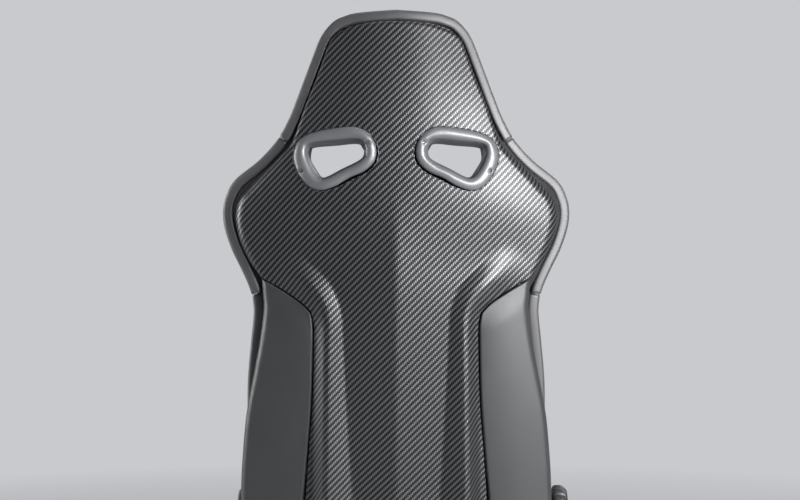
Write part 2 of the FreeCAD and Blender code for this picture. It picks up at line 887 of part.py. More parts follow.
def rounded(points, radius):
    """Flat face in the XZ plane whose corners are arcs."""
    edges = []
    count = len(points)
    corners = [Vec(x, 0, z) for x, z in points]
    ends = []
    for i in range(count):
        corner = corners[i]
        come = (corners[i - 1] - corner).normalize()
        leave = (corners[(i + 1) % count] - corner).normalize()
        half = come.getAngle(leave) / 2
        reach = radius / math.tan(half)
        middle = (come + leave).normalize()
        centre = corner + middle * (radius / math.sin(half))
        ends.append((corner + come * reach, centre - middle * radius, corner + leave * reach))
    for i in range(count):
        start, top, finish = ends[i]
        edges.append(Part.Arc(start, top, finish).toShape())
        edges.append(Part.LineSegment(finish, ends[(i + 1) % count][0]).toShape())
    return Part.Face(Part.Wire(edges))


# Corners of the belt bezel and of its opening, as shares of their width and height.
BEZEL_SHAPE = [(-0.50, 0.04), (-0.23, 0.50), (0.32, 0.40), (0.50, 0.22), (0.50, -0.08),
               (0.28, -0.50), (0.06, -0.50), (-0.42, -0.20)]
SLOT_SHAPE = [(-0.50, 0.20), (-0.40, 0.50), (0.46, 0.38), (0.50, 0.05), (0.26, -0.50),
              (-0.46, -0.02)]


def belt_outline(shape, wide, high, grow, radius, sign):
    """One of the bezel's outlines, grown by an amount all round."""
    x = num("belt_half")
    z = num("pivot_z+belt_rise")
    w = num(wide) + 2 * grow
    deep = num(high) + 2 * grow
    points = [(sign * (x + u * w), z + v * deep) for u, v in shape]
    if sign < 0:
        points.reverse()
    return rounded(points, radius + grow)


def slot_prism(grow, sign):
    return prism(belt_outline(SLOT_SHAPE, "slot_width", "slot_height", grow, 6, sign))


def probe(solid, x, z):
    """Front and rear Y of a solid at one place on the backrest."""
    line = Part.makeLine(Vec(x, 0, z), Vec(x, num("pivot_y") * 4, z))
    hit = solid.common(line)
    return hit.BoundBox.YMin, hit.BoundBox.YMax


# --------------------------------------------------------------- curved backrest


def panel_zone(sign, shift):
    """Area outside the carbon's lower edge; shift moves its border outwards."""
    pz = num("pivot_z")
    half = num("panel_half") + shift
    low = pz - num("tail_drop") - 5
    top = pz + num("panel_top") - shift
    tip_x = num("panel_tip")
    tip_z = pz + num("panel_rise") - shift
    slope = (tip_z - top) / (tip_x - half)
    far = num("shoulder_width")
    points = [(half + 8, low), (half - 2, pz + 200), (half - 3, top - 36), (half, top),
              (tip_x + 60, top + slope * (tip_x + 60 - half)), (far, top), (far, low)]
    return prism(flat([(sign * x, z) for x, z in points]))


def make_back():
    rim = num("rim_width")
    gap = num("rim_gap")
    outline = outline_points()
    count = len(outline)
    outer = prism(half_face(outline))
    inside = prism(half_face(inset(outline, [rim] * count)))
    shell_area = prism(half_face(inset(outline, [rim + gap] * count)))
    # the side panels reach the outer edge at their foot and draw in above it
    reach = [1, 1, 3, rim * 0.8] + [rim + gap] * (count - 4)
    panel_area = prism(half_face(inset(outline, reach)))
    ring = outer.cut(inside)
    pz = num("pivot_z")
    top = pz + num("back_height") + 10
    far = num("shoulder_width")
    head_seam = pz + num("neck_rise") - 26
    waist_seam = pz + num("waist_rise") + 26

    # carbon back shell with both belt openings
    skin = layer(0, num("shell_wall"))
    shell = skin.common(shell_area)
    for sign in (1, -1):
        shell = shell.cut(panel_zone(sign, -1))
        shell = shell.cut(slot_prism(num("collar_wall") + 0.3, sign))
    node(shaped("back_shell", shell.removeSplitter()), "back_shell")

    # side panels, cut away at the foot so that they clear the seat base
    cover = layer(0, num("panel_wall"))
    foot_z = pz + num("panel_foot")
    for side, sign in SIDES:
        panel = cover.common(panel_area).common(panel_zone(sign, 0.5))
        panel = panel.common(band(-far, far, foot_z, top))
        node(shaped("side_panel_" + side, panel), "side_panel_" + side)

    # padded edge: head, two shoulders and two waist pieces
    roll = layer(2, num("rim_depth")).common(ring)
    node(shaped("rim_head", roll.common(band(-far, far, head_seam, top))), "rim_head")
    low_roll = layer(24, num("rim_depth")).common(ring)
    for side, sign in SIDES:
        box = band(sign * 1, sign * far, waist_seam, head_seam)
        node(shaped("rim_shoulder_" + side, roll.common(box)), "rim_shoulder_" + side)
    for side, sign in SIDES:
        box = band(sign * 1, sign * far, pz + 150, waist_seam)
        node(shaped("rim_waist_" + side, low_roll.common(box)), "rim_waist_" + side)

    make_belt_bezels()
    make_back_pads(outer, head_seam, waist_seam, top)
    make_back_frame()


def make_belt_bezels():
    """A bezel at each end of both belt tunnels, with a collar towards the other."""
    proud = num("bezel_proud")
    wall = num("collar_wall")
    front = num("pad_front")
    meet = num("collar_meet")
    screw_x = num("belt_half")
    screw_z = num("pivot_z+belt_rise")
    wide = num("bezel_width")
    shank_radius = num("bezel_screw/2")
    head_radius = num("bezel_screw_head/2")
    rear_ring = layer(-proud, -0.3)
    rear_collar = layer(-1, meet)
    front_ring = layer(front + 0.3, front + 6)
    front_collar = layer(meet + 0.4, front + 1)
    screws = []
    for side, sign in SIDES:
        hole = slot_prism(0, sign)
        frame = belt_outline(BEZEL_SHAPE, "bezel_width", "bezel_height", 0, 13, sign)
        sleeve = slot_prism(wall, sign).cut(hole)
        ring = rear_ring.common(prism(frame).cut(hole))
        bezel = ring.fuse(rear_collar.common(sleeve))
        for across, rise in ((-0.39, 13), (0.42, -16)):
            x = sign * (screw_x + across * wide)
            z = screw_z + rise
            back = probe(rear_ring, x, z)[1]
            rearward = Vec(0, 1, 0)
            shank = Part.makeCylinder(shank_radius, 12, Vec(x, back - 12, z), rearward)
            head = Part.makeCylinder(head_radius, 2.2, Vec(x, back - 1.6, z), rearward)
            room = Part.makeCylinder(head_radius + 0.15, 12, Vec(x, back - 1.6, z), rearward)
            bore = Part.makeCylinder(shank_radius + 0.05, 16, Vec(x, back - 14, z), rearward)
            bezel = bezel.cut(room.fuse(bore))
            screws.append((shank.fuse(head), bore))
        node(shaped("rear_bezel_" + side, bezel), "rear_bezel_" + side)
        small = belt_outline(SLOT_SHAPE, "slot_width", "slot_height", 16, 6, sign)
        face = front_ring.common(prism(small).cut(hole))
        node(shaped("front_bezel_" + side, face.fuse(front_collar.common(sleeve))),
             "front_bezel_" + side)
    # the screws pass through the shell as well
    shell = [item for item in NODES if item.Label == "back_shell"][0]
    for screw, bore in screws:
        shell.Shape = shell.Shape.cut(bore)
    node(shaped("bezel_screws", Part.Compound([screw for screw, bore in screws])), "bezel_screws")


def make_back_pads(outer, head_seam, waist_seam, top):
    """Foam pads on the front of the back, split where the real covers are split."""
    gap = num("pad_gap")
    pz = num("pivot_z")
    far = num("shoulder_width")
    half = num("pad_half")
    rim = num("rim_depth+clip_gap")
    belt_low = pz + num("belt_rise") - num("bezel_height") / 2 - 8
    belt_top = head_seam
    centre = layer(num("pad_rear"), num("pad_front"))
    # the foam gives way to the upper cross tube where a narrow back brings them together
    tube_y, tube_z = tube_line("top_tube_rise")
    tube_room = Part.makeCylinder(num("tube_od/2+clip_gap"), 2 * far, Vec(-far, tube_y, tube_z),
                                  Vec(1, 0, 0))
    centre = centre.cut(tube_room)
    lumbar_low = pz + num("lumbar_low")
    lumbar_top = pz + num("lumbar_top")
    box = band(-half, half, lumbar_low, lumbar_top)
    node(shaped("lumbar_pad", centre.common(box)), "lumbar_pad")
    box = band(-half, half, lumbar_top + gap, belt_low - gap)
    node(shaped("back_centre_pad", centre.common(box)), "back_centre_pad")

    chest_half = half + 50
    upper_low = waist_seam + 60
    chest = layer(rim, num("pad_front")).common(band(-chest_half, chest_half, belt_low, belt_top))
    for side, sign in SIDES:
        chest = chest.cut(slot_prism(num("collar_wall") + 0.3, sign))
    node(shaped("shoulder_pad", chest), "shoulder_pad")

    head = layer(rim, num("head_front")).common(outer)
    head = head.common(band(-far, far, belt_top + gap, top))
    node(shaped("head_pad", head), "head_pad")

    wing = layer(rim, num("wing_front")).common(outer)
    side_roll = layer(rim, num("bolster_front")).common(outer)
    bolster_low = pz + num("bolster_low")
    # the foam is cut away behind, where the tubes and the wire mat pass
    plate = num("back_plate_x+plate_wall") + gap
    behind = band(-plate, plate, bolster_low - 5, belt_low - gap)
    room = layer(rim - 1, num("pad_rear")).common(behind)
    for side, sign in SIDES:
        upper = wing.common(band(sign * (half + gap), sign * far, upper_low, belt_top))
        upper = upper.cut(band(sign * half, sign * (chest_half + gap), belt_low - gap, belt_top))
        upper = upper.cut(room)
        node(shaped("shoulder_bolster_" + side, upper), "shoulder_bolster_" + side)
        lower = side_roll.common(band(sign * (half + gap), sign * far, bolster_low, upper_low - gap))
        lower = lower.cut(room)
        node(shaped("side_bolster_" + side, lower), "side_bolster_" + side)


def plate_back(z):
    """Rear edge of the back frame's side plates at a height."""
    return probe(layer(0, num("pad_front")), num("back_plate_x"), z)[1] - num("plate_inset")


def tube_line(rise):
    """Y and Z of a cross tube's middle line."""
    z = num("pivot_z+" + rise)
    return plate_back(z) - num("plate_depth") / 2, z


def make_back_frame():
    """Side plates, cross tubes, wire mat and the clips that hold the outer skins."""
    pz = num("pivot_z")
    py = num("pivot_y")
    x = num("back_plate_x")
    wall = num("plate_wall")
    rises = ("low_tube_rise-20", "waist_rise-153", "waist_rise", "frame_rise-90", "frame_rise")
    rear_line = []
    front_line = []
    for rise in rises:
        z = pz + num(rise)
        back = plate_back(z)
        rear_line.append(Vec(0, back, z))
        front_line.append(Vec(0, back - num("plate_depth"), z))
    boss = num("recliner_dia/2")
    loop = [Vec(0, py + boss * 0.7, pz - boss * 0.7), Vec(0, py + boss, pz)] + rear_line
    loop += list(reversed(front_line)) + [Vec(0, py - boss * 0.7, pz + boss * 0.7)]
    loop += [Vec(0, py - boss, pz), Vec(0, py - boss * 0.7, pz - boss * 0.7),
             Vec(0, py, pz - boss)]
    face = Part.Face(Part.makePolygon(loop + loop[:1]))
    for side, sign in SIDES:
        start = min(sign * x, sign * (x + wall))
        plate = face.extrude(Vec(wall, 0, 0))
        plate.translate(Vec(start, 0, 0))
        hole = Part.makeCylinder(num("shaft_dia/2+1"), wall + 2, Vec(start - 1, py, pz),
                                 Vec(1, 0, 0))
        node(shaped("back_side_" + side, plate.cut(hole)), "back_side_" + side)

    for name, key in (("back_top_tube", "top_tube_rise"), ("back_low_tube", "low_tube_rise")):
        y = tube_line(key)[0]
        reach = "back_plate_x-clip_gap"
        outer = cylinder(name + "_outer", "tube_od/2", "2*(%s)" % reach, "x",
                         "-(%s)" % reach, "%f" % y, "pivot_z+" + key)
        inner = cylinder(name + "_inner", "tube_od/2-tube_wall", "2*(%s)" % reach, "x",
                         "-(%s)" % reach, "%f" % y, "pivot_z+" + key)
        node(cut(name, outer, inner), name)

    # wire mat: level wires hooked to the side plates, tied by upright ones
    centre = layer(num("pad_rear"), num("pad_front"))
    r = num("wire_dia/2")
    levels = []
    count = 6
    low = num("low_tube_rise") + 40
    high = num("top_tube_rise") - 40
    for i in range(count):
        z = pz + low + (high - low) * i / (count - 1)
        levels.append((probe(centre, 0, z)[1] + r + num("clip_gap"), z))
    mat = None
    reach = x - num("clip_gap")
    for y, z in levels:
        wire = Part.makeCylinder(r, 2 * reach, Vec(-reach, y, z), Vec(1, 0, 0))
        mat = wire if mat is None else mat.fuse(wire)
    for column in (-150, -75, 0, 75, 150):
        for (y0, z0), (y1, z1) in zip(levels, levels[1:]):
            run = Vec(0, y1 - y0, z1 - z0)
            stay = Part.makeCylinder(r * 0.8, run.Length, Vec(column, y0, z0), run)
            mat = mat.fuse(stay)
    node(shaped("lumbar_mat", mat), "lumbar_mat")

    # clips between the cross tubes and the shell, and between plates and side panels
    clips = []
    hold = layer(num("shell_wall") + 0.3, 110)
    for key in ("top_tube_rise", "low_tube_rise"):
        y, z = tube_line(key)
        away = Part.makeCylinder(num("tube_od/2+clip_gap"), 400, Vec(-200, y, z), Vec(1, 0, 0))
        for column in (-96, 96):
            clip = hold.common(band(column - 9, column + 9, z - 8, z + 8))
            ahead = Part.makeBox(40, 400, 40, Vec(column - 20, y - 400, z - 20))
            clips.append(clip.cut(away).cut(ahead))
    node(shaped("shell_clips", Part.Compound(clips)), "shell_clips")
    grips = []
    under = layer(num("panel_wall") + 0.3, 60)
    inner = x + wall + num("clip_gap")
    for sign in (1, -1):
        for rise in (90, 290):
            z = pz + rise
            grip = under.common(band(sign * inner, sign * (inner + 7), z - 14, z + 14))
            front = plate_back(z) - num("plate_depth")
            ahead = Part.makeBox(2 * x + 100, 400, 60, Vec(-x - 50, front - 400, z - 30))
            grips.append(grip.cut(ahead))
    node(shaped("panel_clips", Part.Compound(grips)), "panel_clips")


# ------------------------------------------------------------------------ build


make_rails()
for side, sign in SIDES:
    base_side(side, sign)
cross_tube("base_front_tube", "-base_front+25", "base_low+64")
cross_tube("base_rear_tube", "pivot_y-90", "base_low+45")
bolts = []
for side, sign in SIDES:
    for spot in (-1, 1):
        bolts.append(rail_bolt("rail_bolt_%s_%d" % (side, spot + 1), sign, spot))
node(group("rail_bolts", bolts), "rail_bolts")
seat_pan()
make_cushion()
for side, sign in SIDES:
    side_shield(side, sign)
for side, sign in SIDES:
    recliner_gear(side, sign)
make_drive()
recliner_cap()
make_latch()
make_back()
doc.recompute()

broken = [item.Label for item in doc.Objects if {"Invalid", "Error"} & set(item.State)]
if broken:
    raise ValueError("failed objects: " + ", ".join(broken))
for item in NODES:
    if item.Shape.isNull() or not item.Shape.isValid():
        raise ValueError(item.Label + ": bad shape")
    if not item.Shape.Solids:
        raise ValueError(item.Label + ": no solid")

for item in NODES:
    item.Shape.exportStep("parts/%s.step" % item.Label)
print(len(NODES), "nodes")
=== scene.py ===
import json
import math
import bpy
import numpy as np
from bpy.props import FloatProperty, FloatVectorProperty, IntProperty, PointerProperty
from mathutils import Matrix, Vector
from mathutils.bvhtree import BVHTree


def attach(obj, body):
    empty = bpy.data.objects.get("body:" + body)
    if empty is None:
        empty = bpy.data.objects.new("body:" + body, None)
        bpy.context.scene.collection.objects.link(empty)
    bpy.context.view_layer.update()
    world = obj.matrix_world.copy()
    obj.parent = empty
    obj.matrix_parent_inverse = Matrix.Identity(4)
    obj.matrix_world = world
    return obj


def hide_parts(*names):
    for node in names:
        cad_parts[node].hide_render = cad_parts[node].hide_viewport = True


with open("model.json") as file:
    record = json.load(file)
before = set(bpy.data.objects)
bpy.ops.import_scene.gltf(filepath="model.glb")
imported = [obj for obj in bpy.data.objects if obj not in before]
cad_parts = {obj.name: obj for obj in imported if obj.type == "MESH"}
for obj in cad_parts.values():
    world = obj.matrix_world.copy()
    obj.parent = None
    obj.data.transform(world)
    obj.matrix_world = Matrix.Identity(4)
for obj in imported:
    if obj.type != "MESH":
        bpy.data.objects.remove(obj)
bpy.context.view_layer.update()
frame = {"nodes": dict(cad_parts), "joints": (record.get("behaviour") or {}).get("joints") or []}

bl_info = {
    "name": "Sport seat surfaces",
    "version": (1, 0, 0),
    "blender": (4, 5, 0),
    "location": "3D View > Sidebar > Seat",
    "description": "Models the shell, padded edge, covers and finishes of a reclining sport seat",
    "category": "Object",
}

# All lengths are metres. The seat faces -Y, its rear is +Y, and -X is the occupant's right.
JOINTS = {joint["name"]: joint for joint in frame["joints"]}
PIVOT = Vector(JOINTS["recline"]["pos_m"])
SIDES = (("left", 1), ("right", -1))
TO_REAR = (0, 1, 0)
TO_FRONT = (0, -1, 0)
UP = (0, 0, 1)
DOWN = (0, 0, -1)

# Rear surface of the backrest, low to high: height above the pivot, set-back behind it,
# half width, and how far its edges bow forward.
STATIONS = np.array([
    (-0.062, 0.093, 0.268, 0.060),
    (0.353, 0.186, 0.241, 0.060),
    (0.513, 0.210, 0.292, 0.082),
    (0.671, 0.218, 0.179, 0.045),
    (0.855, 0.198, 0.127, 0.028),
])

# Half outlines on the +X side as (x, z), from the foot to the top.
RIM_OUTER = [(0.2695, 0.160), (0.2695, 0.214), (0.2640, 0.290), (0.2575, 0.350), (0.2550, 0.426),
             (0.2480, 0.496), (0.2440, 0.530), (0.2430, 0.552), (0.2475, 0.581), (0.2620, 0.615),
             (0.2790, 0.650), (0.2905, 0.684), (0.2940, 0.712), (0.2895, 0.738), (0.2735, 0.767),
             (0.2310, 0.800), (0.1995, 0.8335), (0.1800, 0.867), (0.1660, 0.901), (0.1415, 0.966),
             (0.1280, 1.000), (0.1145, 1.020), (0.1000, 1.0325), (0.0850, 1.0385), (0.0630, 1.0435),
             (0.0, 1.0478)]
SHELL_LOW = [(0.1590, 0.135), (0.1554, 0.222), (0.1487, 0.310), (0.1415, 0.396), (0.1380, 0.500),
             (0.1386, 0.5265), (0.1418, 0.5445)]
SHELL_NOTCH = [(0.1418, 0.5445), (0.1535, 0.5570), (0.1652, 0.5664), (0.1955, 0.5860),
               (0.2266, 0.6026)]
SHELL_HIGH = [(0.2266, 0.6026), (0.2371, 0.6165), (0.2495, 0.6340), (0.2609, 0.6565),
              (0.2682, 0.6810), (0.2709, 0.7080), (0.2640, 0.7347), (0.2465, 0.7546),
              (0.2257, 0.7761), (0.1966, 0.8035), (0.1729, 0.8300), (0.1494, 0.8931),
              (0.1311, 0.9377), (0.1180, 0.9745), (0.1085, 0.9970), (0.0965, 1.0105)]
PANEL_INNER = [(0.1605, 0.207), (0.1505, 0.310), (0.1433, 0.396), (0.1398, 0.500),
               (0.1402, 0.5250), (0.1432, 0.5430)]
PANEL_TOP = [(0.1432, 0.5430), (0.1545, 0.5555), (0.1660, 0.5648), (0.1960, 0.5842),
             (0.2262, 0.6010)]
PANEL_OUTER = [(0.2695, 0.207), (0.2665, 0.269), (0.2600, 0.340), (0.2540, 0.382), (0.2425, 0.438),
               (0.2310, 0.496), (0.2240, 0.547), (0.2246, 0.574), (0.2262, 0.6010)]

# Stretches of the shell's edge: outline, rows, centre-line heights at both ends, crowding.
SHELL_STRETCHES = (
    (SHELL_LOW, 96, SHELL_LOW[0][1], 0.526, 1.0),
    (SHELL_NOTCH, 26, 0.526, 0.603, 1.0),
    (SHELL_HIGH, 132, 0.603, 1.0279, 1.35),
)

# Belt bezel and its opening on the +X side, as (x, z) corners, and the bezel's screws.
BEZEL_OUTER = [(0.1500, 0.8385), (0.1320, 0.8445), (0.1070, 0.8490), (0.0770, 0.8520),
               (0.0580, 0.8488), (0.0415, 0.8370), (0.0325, 0.8160), (0.0358, 0.7945),
               (0.0520, 0.7785), (0.0770, 0.7675), (0.0990, 0.7550), (0.1240, 0.7475),
               (0.1450, 0.7545), (0.1610, 0.7750), (0.1700, 0.8020), (0.1645, 0.8265)]
BEZEL_HOLE = [(0.1400, 0.8235), (0.1000, 0.8268), (0.0680, 0.8292), (0.0560, 0.8240),
              (0.0525, 0.8110), (0.0590, 0.7985), (0.0900, 0.7830), (0.1130, 0.7712),
              (0.1235, 0.7700), (0.1340, 0.7800), (0.1455, 0.8020), (0.1470, 0.8150)]
BEZEL_MIDDLE = (0.104, 0.799)
SCREW_PLACES = [(0.0462, 0.8255), (0.1565, 0.7800)]

# Heights of the padded edge's seams.
RIM_FOOT = 0.350
WAIST_SEAM = 0.5735
HEAD_SEAM = 0.8385

# Sewn channels: heights on the back, places from front to rear on the cushion.
CHANNELS_BACK = [0.385 + 0.059 * k for k in range(6)]
CHANNELS_CUSHION = [-0.150 + 0.062 * k for k in range(5)]

# Outline of the side shields as (y, z) corners, and the steps of their edge and groove, as the
# width of each inset and the rise of the face.
SHIELD = [(-0.270, 0.130), (-0.240, 0.088), (-0.155, 0.068), (0.140, 0.068), (0.196, 0.143),
          (0.230, 0.163), (0.234, 0.191), (0.206, 0.231), (0.160, 0.225), (0.110, 0.166),
          (-0.215, 0.174), (-0.270, 0.162)]
SHIELD_STEPS = ((0.0006, 0.0030), (0.0014, 0.0024), (0.0024, 0.0016), (0.0034, 0.0010),
                (0.0030, 0.0002), (0.0009, -0.0012), (0.0009, 0.0), (0.0009, 0.0014),
                (0.0020, 0.0002))

# Rear bezel's section: share of the ring's width from the hole, extra offset, height off the shell.
REAR_SECTION = (
    (1.0, -0.0020, -0.0060), (1.0, -0.0004, -0.0030), (1.0, 0.0000, 0.0002),
    (1.0, -0.0006, 0.0026), (1.0, -0.0022, 0.0048), (1.0, -0.0048, 0.0064),
    (0.80, -0.0030, 0.0073), (0.62, -0.0020, 0.0077), (0.50, 0.0, 0.0076),
    (0.40, 0.0, 0.0070), (0.30, 0.0, 0.0058), (0.20, 0.0, 0.0038), (0.12, 0.0, 0.0010),
    (0.06, 0.0, -0.0030), (0.03, 0.0, -0.0080), (0.0, 0.0, -0.0160), (0.0, -0.0006, -0.0300),
    (0.0, -0.0010, -0.0480), (0.0, 0.0010, -0.0484), (0.0, 0.0022, -0.0300),
    (0.06, 0.0022, -0.0120), (0.4, 0.0, -0.0060),
)
# Front bezel's section: offset from the hole, height off the pad.
FRONT_SECTION = (
    (0.0165, -0.0040), (0.0165, 0.0015), (0.0155, 0.0036), (0.0130, 0.0052),
    (0.0095, 0.0060), (0.0060, 0.0056), (0.0030, 0.0036), (0.0010, 0.0004), (0.0, -0.0040),
    (0.0, -0.0300), (0.0, -0.0680), (0.0022, -0.0680), (0.0022, -0.0300), (0.0022, -0.0060),
)
# Edge lining's section: inset from the outline, depth below the rear surface.
LINING_SECTION = ((0.046, 0.0135), (0.034, 0.0110), (0.022, 0.0125), (0.013, 0.0200),
                  (0.009, 0.0300), (0.008, 0.0580))
# Turned parts' sections: x, radius, share of the finger hollows.
WHEEL_SECTION = (
    (-0.2730, 0.0068, 0), (-0.2730, 0.0360, 0), (-0.2736, 0.0384, 0.3), (-0.2752, 0.0404, 0.8),
    (-0.2774, 0.0414, 1), (-0.2800, 0.0418, 1), (-0.2850, 0.0418, 1), (-0.2884, 0.0414, 1),
    (-0.2920, 0.0398, 1), (-0.2950, 0.0376, 0.9), (-0.2972, 0.0350, 0.6), (-0.2984, 0.0326, 0.2),
    (-0.2988, 0.0300, 0), (-0.2986, 0.0284, 0), (-0.2976, 0.0272, 0), (-0.2958, 0.0262, 0),
    (-0.2946, 0.0248, 0), (-0.2942, 0.0228, 0), (-0.2944, 0.0206, 0), (-0.2956, 0.0192, 0),
    (-0.2966, 0.0180, 0), (-0.2968, 0.0168, 0), (-0.2962, 0.0160, 0), (-0.2935, 0.0158, 0),
    (-0.2935, 0.0, 0),
)
WHEEL_CAP_SECTION = (
    (-0.2938, 0.0152, 0), (-0.2962, 0.0152, 0), (-0.2976, 0.0146, 0), (-0.2982, 0.0136, 0),
    (-0.2982, 0.0122, 0), (-0.2976, 0.0116, 0), (-0.2976, 0.0106, 0), (-0.2984, 0.0100, 0),
    (-0.2989, 0.0060, 0), (-0.2990, 0.0, 0),
)
RECLINER_CAP_SECTION = (
    (0.2663, 0.0, 0), (0.2663, 0.0358, 0), (0.2685, 0.0359, 0), (0.2712, 0.0355, 0),
    (0.2736, 0.0343, 0), (0.2752, 0.0325, 0), (0.2758, 0.0303, 0), (0.2756, 0.0290, 0),
    (0.2744, 0.0282, 0), (0.2744, 0.0272, 0), (0.2756, 0.0264, 0), (0.2764, 0.0230, 0),
    (0.2769, 0.0130, 0), (0.2770, 0.0, 0),
)


# ------------------------------------------------------------------ user settings


class SeatShape(bpy.types.PropertyGroup):
    """Sizes that shape the visible surfaces."""

    crease_slope: FloatProperty(
        name="Crease slope", description="How steeply each half falls away from the centre fold",
        default=0.175)
    ridge_low: FloatProperty(
        name="Ridge height, low", description="Height of the upright ridges at the hips",
        default=0.026, unit="LENGTH")
    ridge_high: FloatProperty(
        name="Ridge height, high", description="Height of the ridges where they turn outwards",
        default=0.0125, unit="LENGTH")
    shell_wall: FloatProperty(
        name="Shell wall", description="Thickness of the back shell", default=0.003, unit="LENGTH")
    rim_width: FloatProperty(
        name="Edge width", description="Width of the padded edge seen from behind",
        default=0.0185, unit="LENGTH")
    bezel_proud: FloatProperty(
        name="Bezel height", description="How far the belt bezels stand off the shell",
        default=0.0075, unit="LENGTH")
    wheel_ribs: IntProperty(
        name="Handwheel grips", description="Number of finger hollows round the handwheel",
        default=16)


class SeatFinish(bpy.types.PropertyGroup):
    """Colours and scales of the finishes."""

    # Both tow sets are the same black fibre: the upright tows' lighter colour is painted sheen and
    # the cross tows' near-black colour is painted shade, standing in for how the weave catches the
    # light.
    carbon_painted_lit_tows: FloatVectorProperty(
        name="Carbon, lit tows", description="Colour of the tows that run upwards",
        subtype="COLOR", default=(0.150, 0.154, 0.162))
    carbon_painted_shaded_tows: FloatVectorProperty(
        name="Carbon, dark tows", description="Colour of the tows that run across",
        subtype="COLOR", default=(0.004, 0.004, 0.0045))
    tow_width: FloatProperty(
        name="Tow width", description="Width of one fibre bundle in the weave",
        default=0.00275, unit="LENGTH")
    weave_turn: FloatProperty(
        name="Weave turn", description="How far the cloth is turned on the shell",
        default=math.radians(-1.2), subtype="ANGLE")
    leather: FloatVectorProperty(
        name="Leather", description="Colour of the grained leather",
        subtype="COLOR", default=(0.020, 0.020, 0.0215))
    edge: FloatVectorProperty(
        name="Edge leather", description="Colour of the leather on the padded edge",
        subtype="COLOR", default=(0.042, 0.042, 0.045))
    suede: FloatVectorProperty(
        name="Suede", description="Colour of the napped suede",
        subtype="COLOR", default=(0.024, 0.0245, 0.026))
    panel: FloatVectorProperty(
        name="Panel cover", description="Colour of the side panels' cover",
        subtype="COLOR", default=(0.020, 0.021, 0.0225))
    bezel: FloatVectorProperty(
        name="Bezel paint", description="Colour of the satin belt bezels",
        subtype="COLOR", default=(0.115, 0.118, 0.124))
    thread: FloatVectorProperty(
        name="Thread", description="Colour of the stitching",
        subtype="COLOR", default=(0.060, 0.061, 0.064))
    backdrop: FloatVectorProperty(
        name="Backdrop", description="Colour of the floor and the wall behind",
        subtype="COLOR", default=(0.58, 0.59, 0.61))


# ------------------------------------------------------------------ shared shapes


def shape_settings():
    return bpy.context.scene.seat_shape


def smooth_step(low, high, value):
    """0 below low, 1 above high, and a smooth change between them."""
    t = np.clip((value - low) / (high - low), 0.0, 1.0)
    return t * t * (3.0 - 2.0 * t)


def smooth_min(a, b, radius):
    """Smaller of two distances, with the corner between them rounded."""
    h = np.clip(0.5 + 0.5 * (b - a) / radius, 0.0, 1.0)
    return b + (a - b) * h - radius * h * (1.0 - h)


def crowd(share, ease):
    """Shares from 0 to 1 that crowd towards their end when ease is above 1."""
    return 1.0 - (1.0 - share)**ease


def roll(gap, radius, full):
    """How far an edge rolls forward where a gap is left to it; full is just under 1."""
    s = np.clip(1.0 - gap / radius, 0.0, 1.0)
    return radius * (1.0 - np.sqrt(np.maximum(0.0, 1.0 - (full * s)**2)))


def section_at(z):
    """Set-back, half width and bow of the rear surface at heights z."""
    rise = STATIONS[:, 0] + PIVOT.z
    z = np.clip(np.asarray(z, dtype=float), rise[0], rise[-1] - 1e-6)
    low = np.clip(np.searchsorted(rise, z, side="right") - 1, 0, len(rise) - 2)
    before = np.maximum(low - 1, 0)
    after = np.minimum(low + 2, len(rise) - 1)
    step = rise[low + 1] - rise[low]
    u = (z - rise[low]) / step
    result = []
    for row in STATIONS.T[1:]:
        leave = (row[low + 1] - row[before]) / (rise[low + 1] - rise[before]) * step
        arrive = (row[after] - row[low]) / (rise[after] - rise[low]) * step
        result.append((2 * u**3 - 3 * u**2 + 1) * row[low] + (u**3 - 2 * u**2 + u) * leave
                      + (3 * u**2 - 2 * u**3) * row[low + 1] + (u**3 - u**2) * arrive)
    return result


def base_y(x, z):
    """Rear surface without its ridges: a gentle bow, folded along the centre low down."""
    back, half, bow = section_at(z)
    fold = 1.0 - smooth_step(0.610, 0.775, z)
    soft = 0.0022
    away = np.sqrt(np.asarray(x, dtype=float)**2 + soft**2) - soft
    slope = shape_settings().crease_slope * fold
    rest = bow - slope * half
    return PIVOT.y + back - slope * away - rest * (np.abs(x) / half)**2


def ridge_y(x, z):
    """Height of the two ridges that rise at the hips and turn out to the shoulders."""
    shape = shape_settings()
    x = np.abs(x)
    crest = 0.1152 + 0.006 * np.clip((0.53 - z) / 0.30, 0.0, 1.4)
    turn_x, turn_z = 0.099, 0.566
    cos_out, sin_out = 0.729, 0.684
    branch = (x - turn_x) * sin_out - (z - turn_z) * cos_out - 0.0130
    along = (x - turn_x) * cos_out + (z - turn_z) * sin_out
    away = smooth_min(x - crest, branch, 0.034)
    low = np.clip((0.545 - z) / 0.33, 0.0, 1.2)
    high = shape.ridge_high + (shape.ridge_low - shape.ridge_high) * low
    high = high * (1.0 - smooth_step(0.045, 0.140, along))
    inner = 0.0256 + 0.022 * low**1.2 + 0.0020 * smooth_step(0.0, 0.040, along)
    outer = 0.027 + 0.022 * smooth_step(0.0, 0.05, along)
    # the foot is crisp and the crest rounded
    ramp = np.clip(1.0 + away / inner, 0.0, 1.0)
    ramp = ramp + 0.16 * ramp * (1.0 - ramp)
    crest_round = 0.0060
    near = np.clip(1.0 - np.abs(away) / crest_round, 0.0, 1.0)
    fall = 1.0 - smooth_step(-0.004, outer, away) * 1.15
    return high * (np.where(away < 0.0, ramp, fall) - 0.11 * near**2)


def rear_y(x, z):
    return base_y(x, z) + ridge_y(x, z)


def rows_of(*columns):
    """One row per place, from columns or single numbers."""
    return np.stack(np.broadcast_arrays(*columns), axis=1)


def travelled(points):
    """Distance along a path at each of its points."""
    steps = np.linalg.norm(np.diff(points, axis=0), axis=1)
    return np.concatenate([[0.0], np.cumsum(steps)])


def along_path(points, run, wanted):
    """Values of a path at the wanted distances, where run holds its points' distances."""
    return np.stack([np.interp(wanted, run, column) for column in points.T], axis=-1)


def unit(rows):
    return rows / np.linalg.norm(rows, axis=1, keepdims=True)


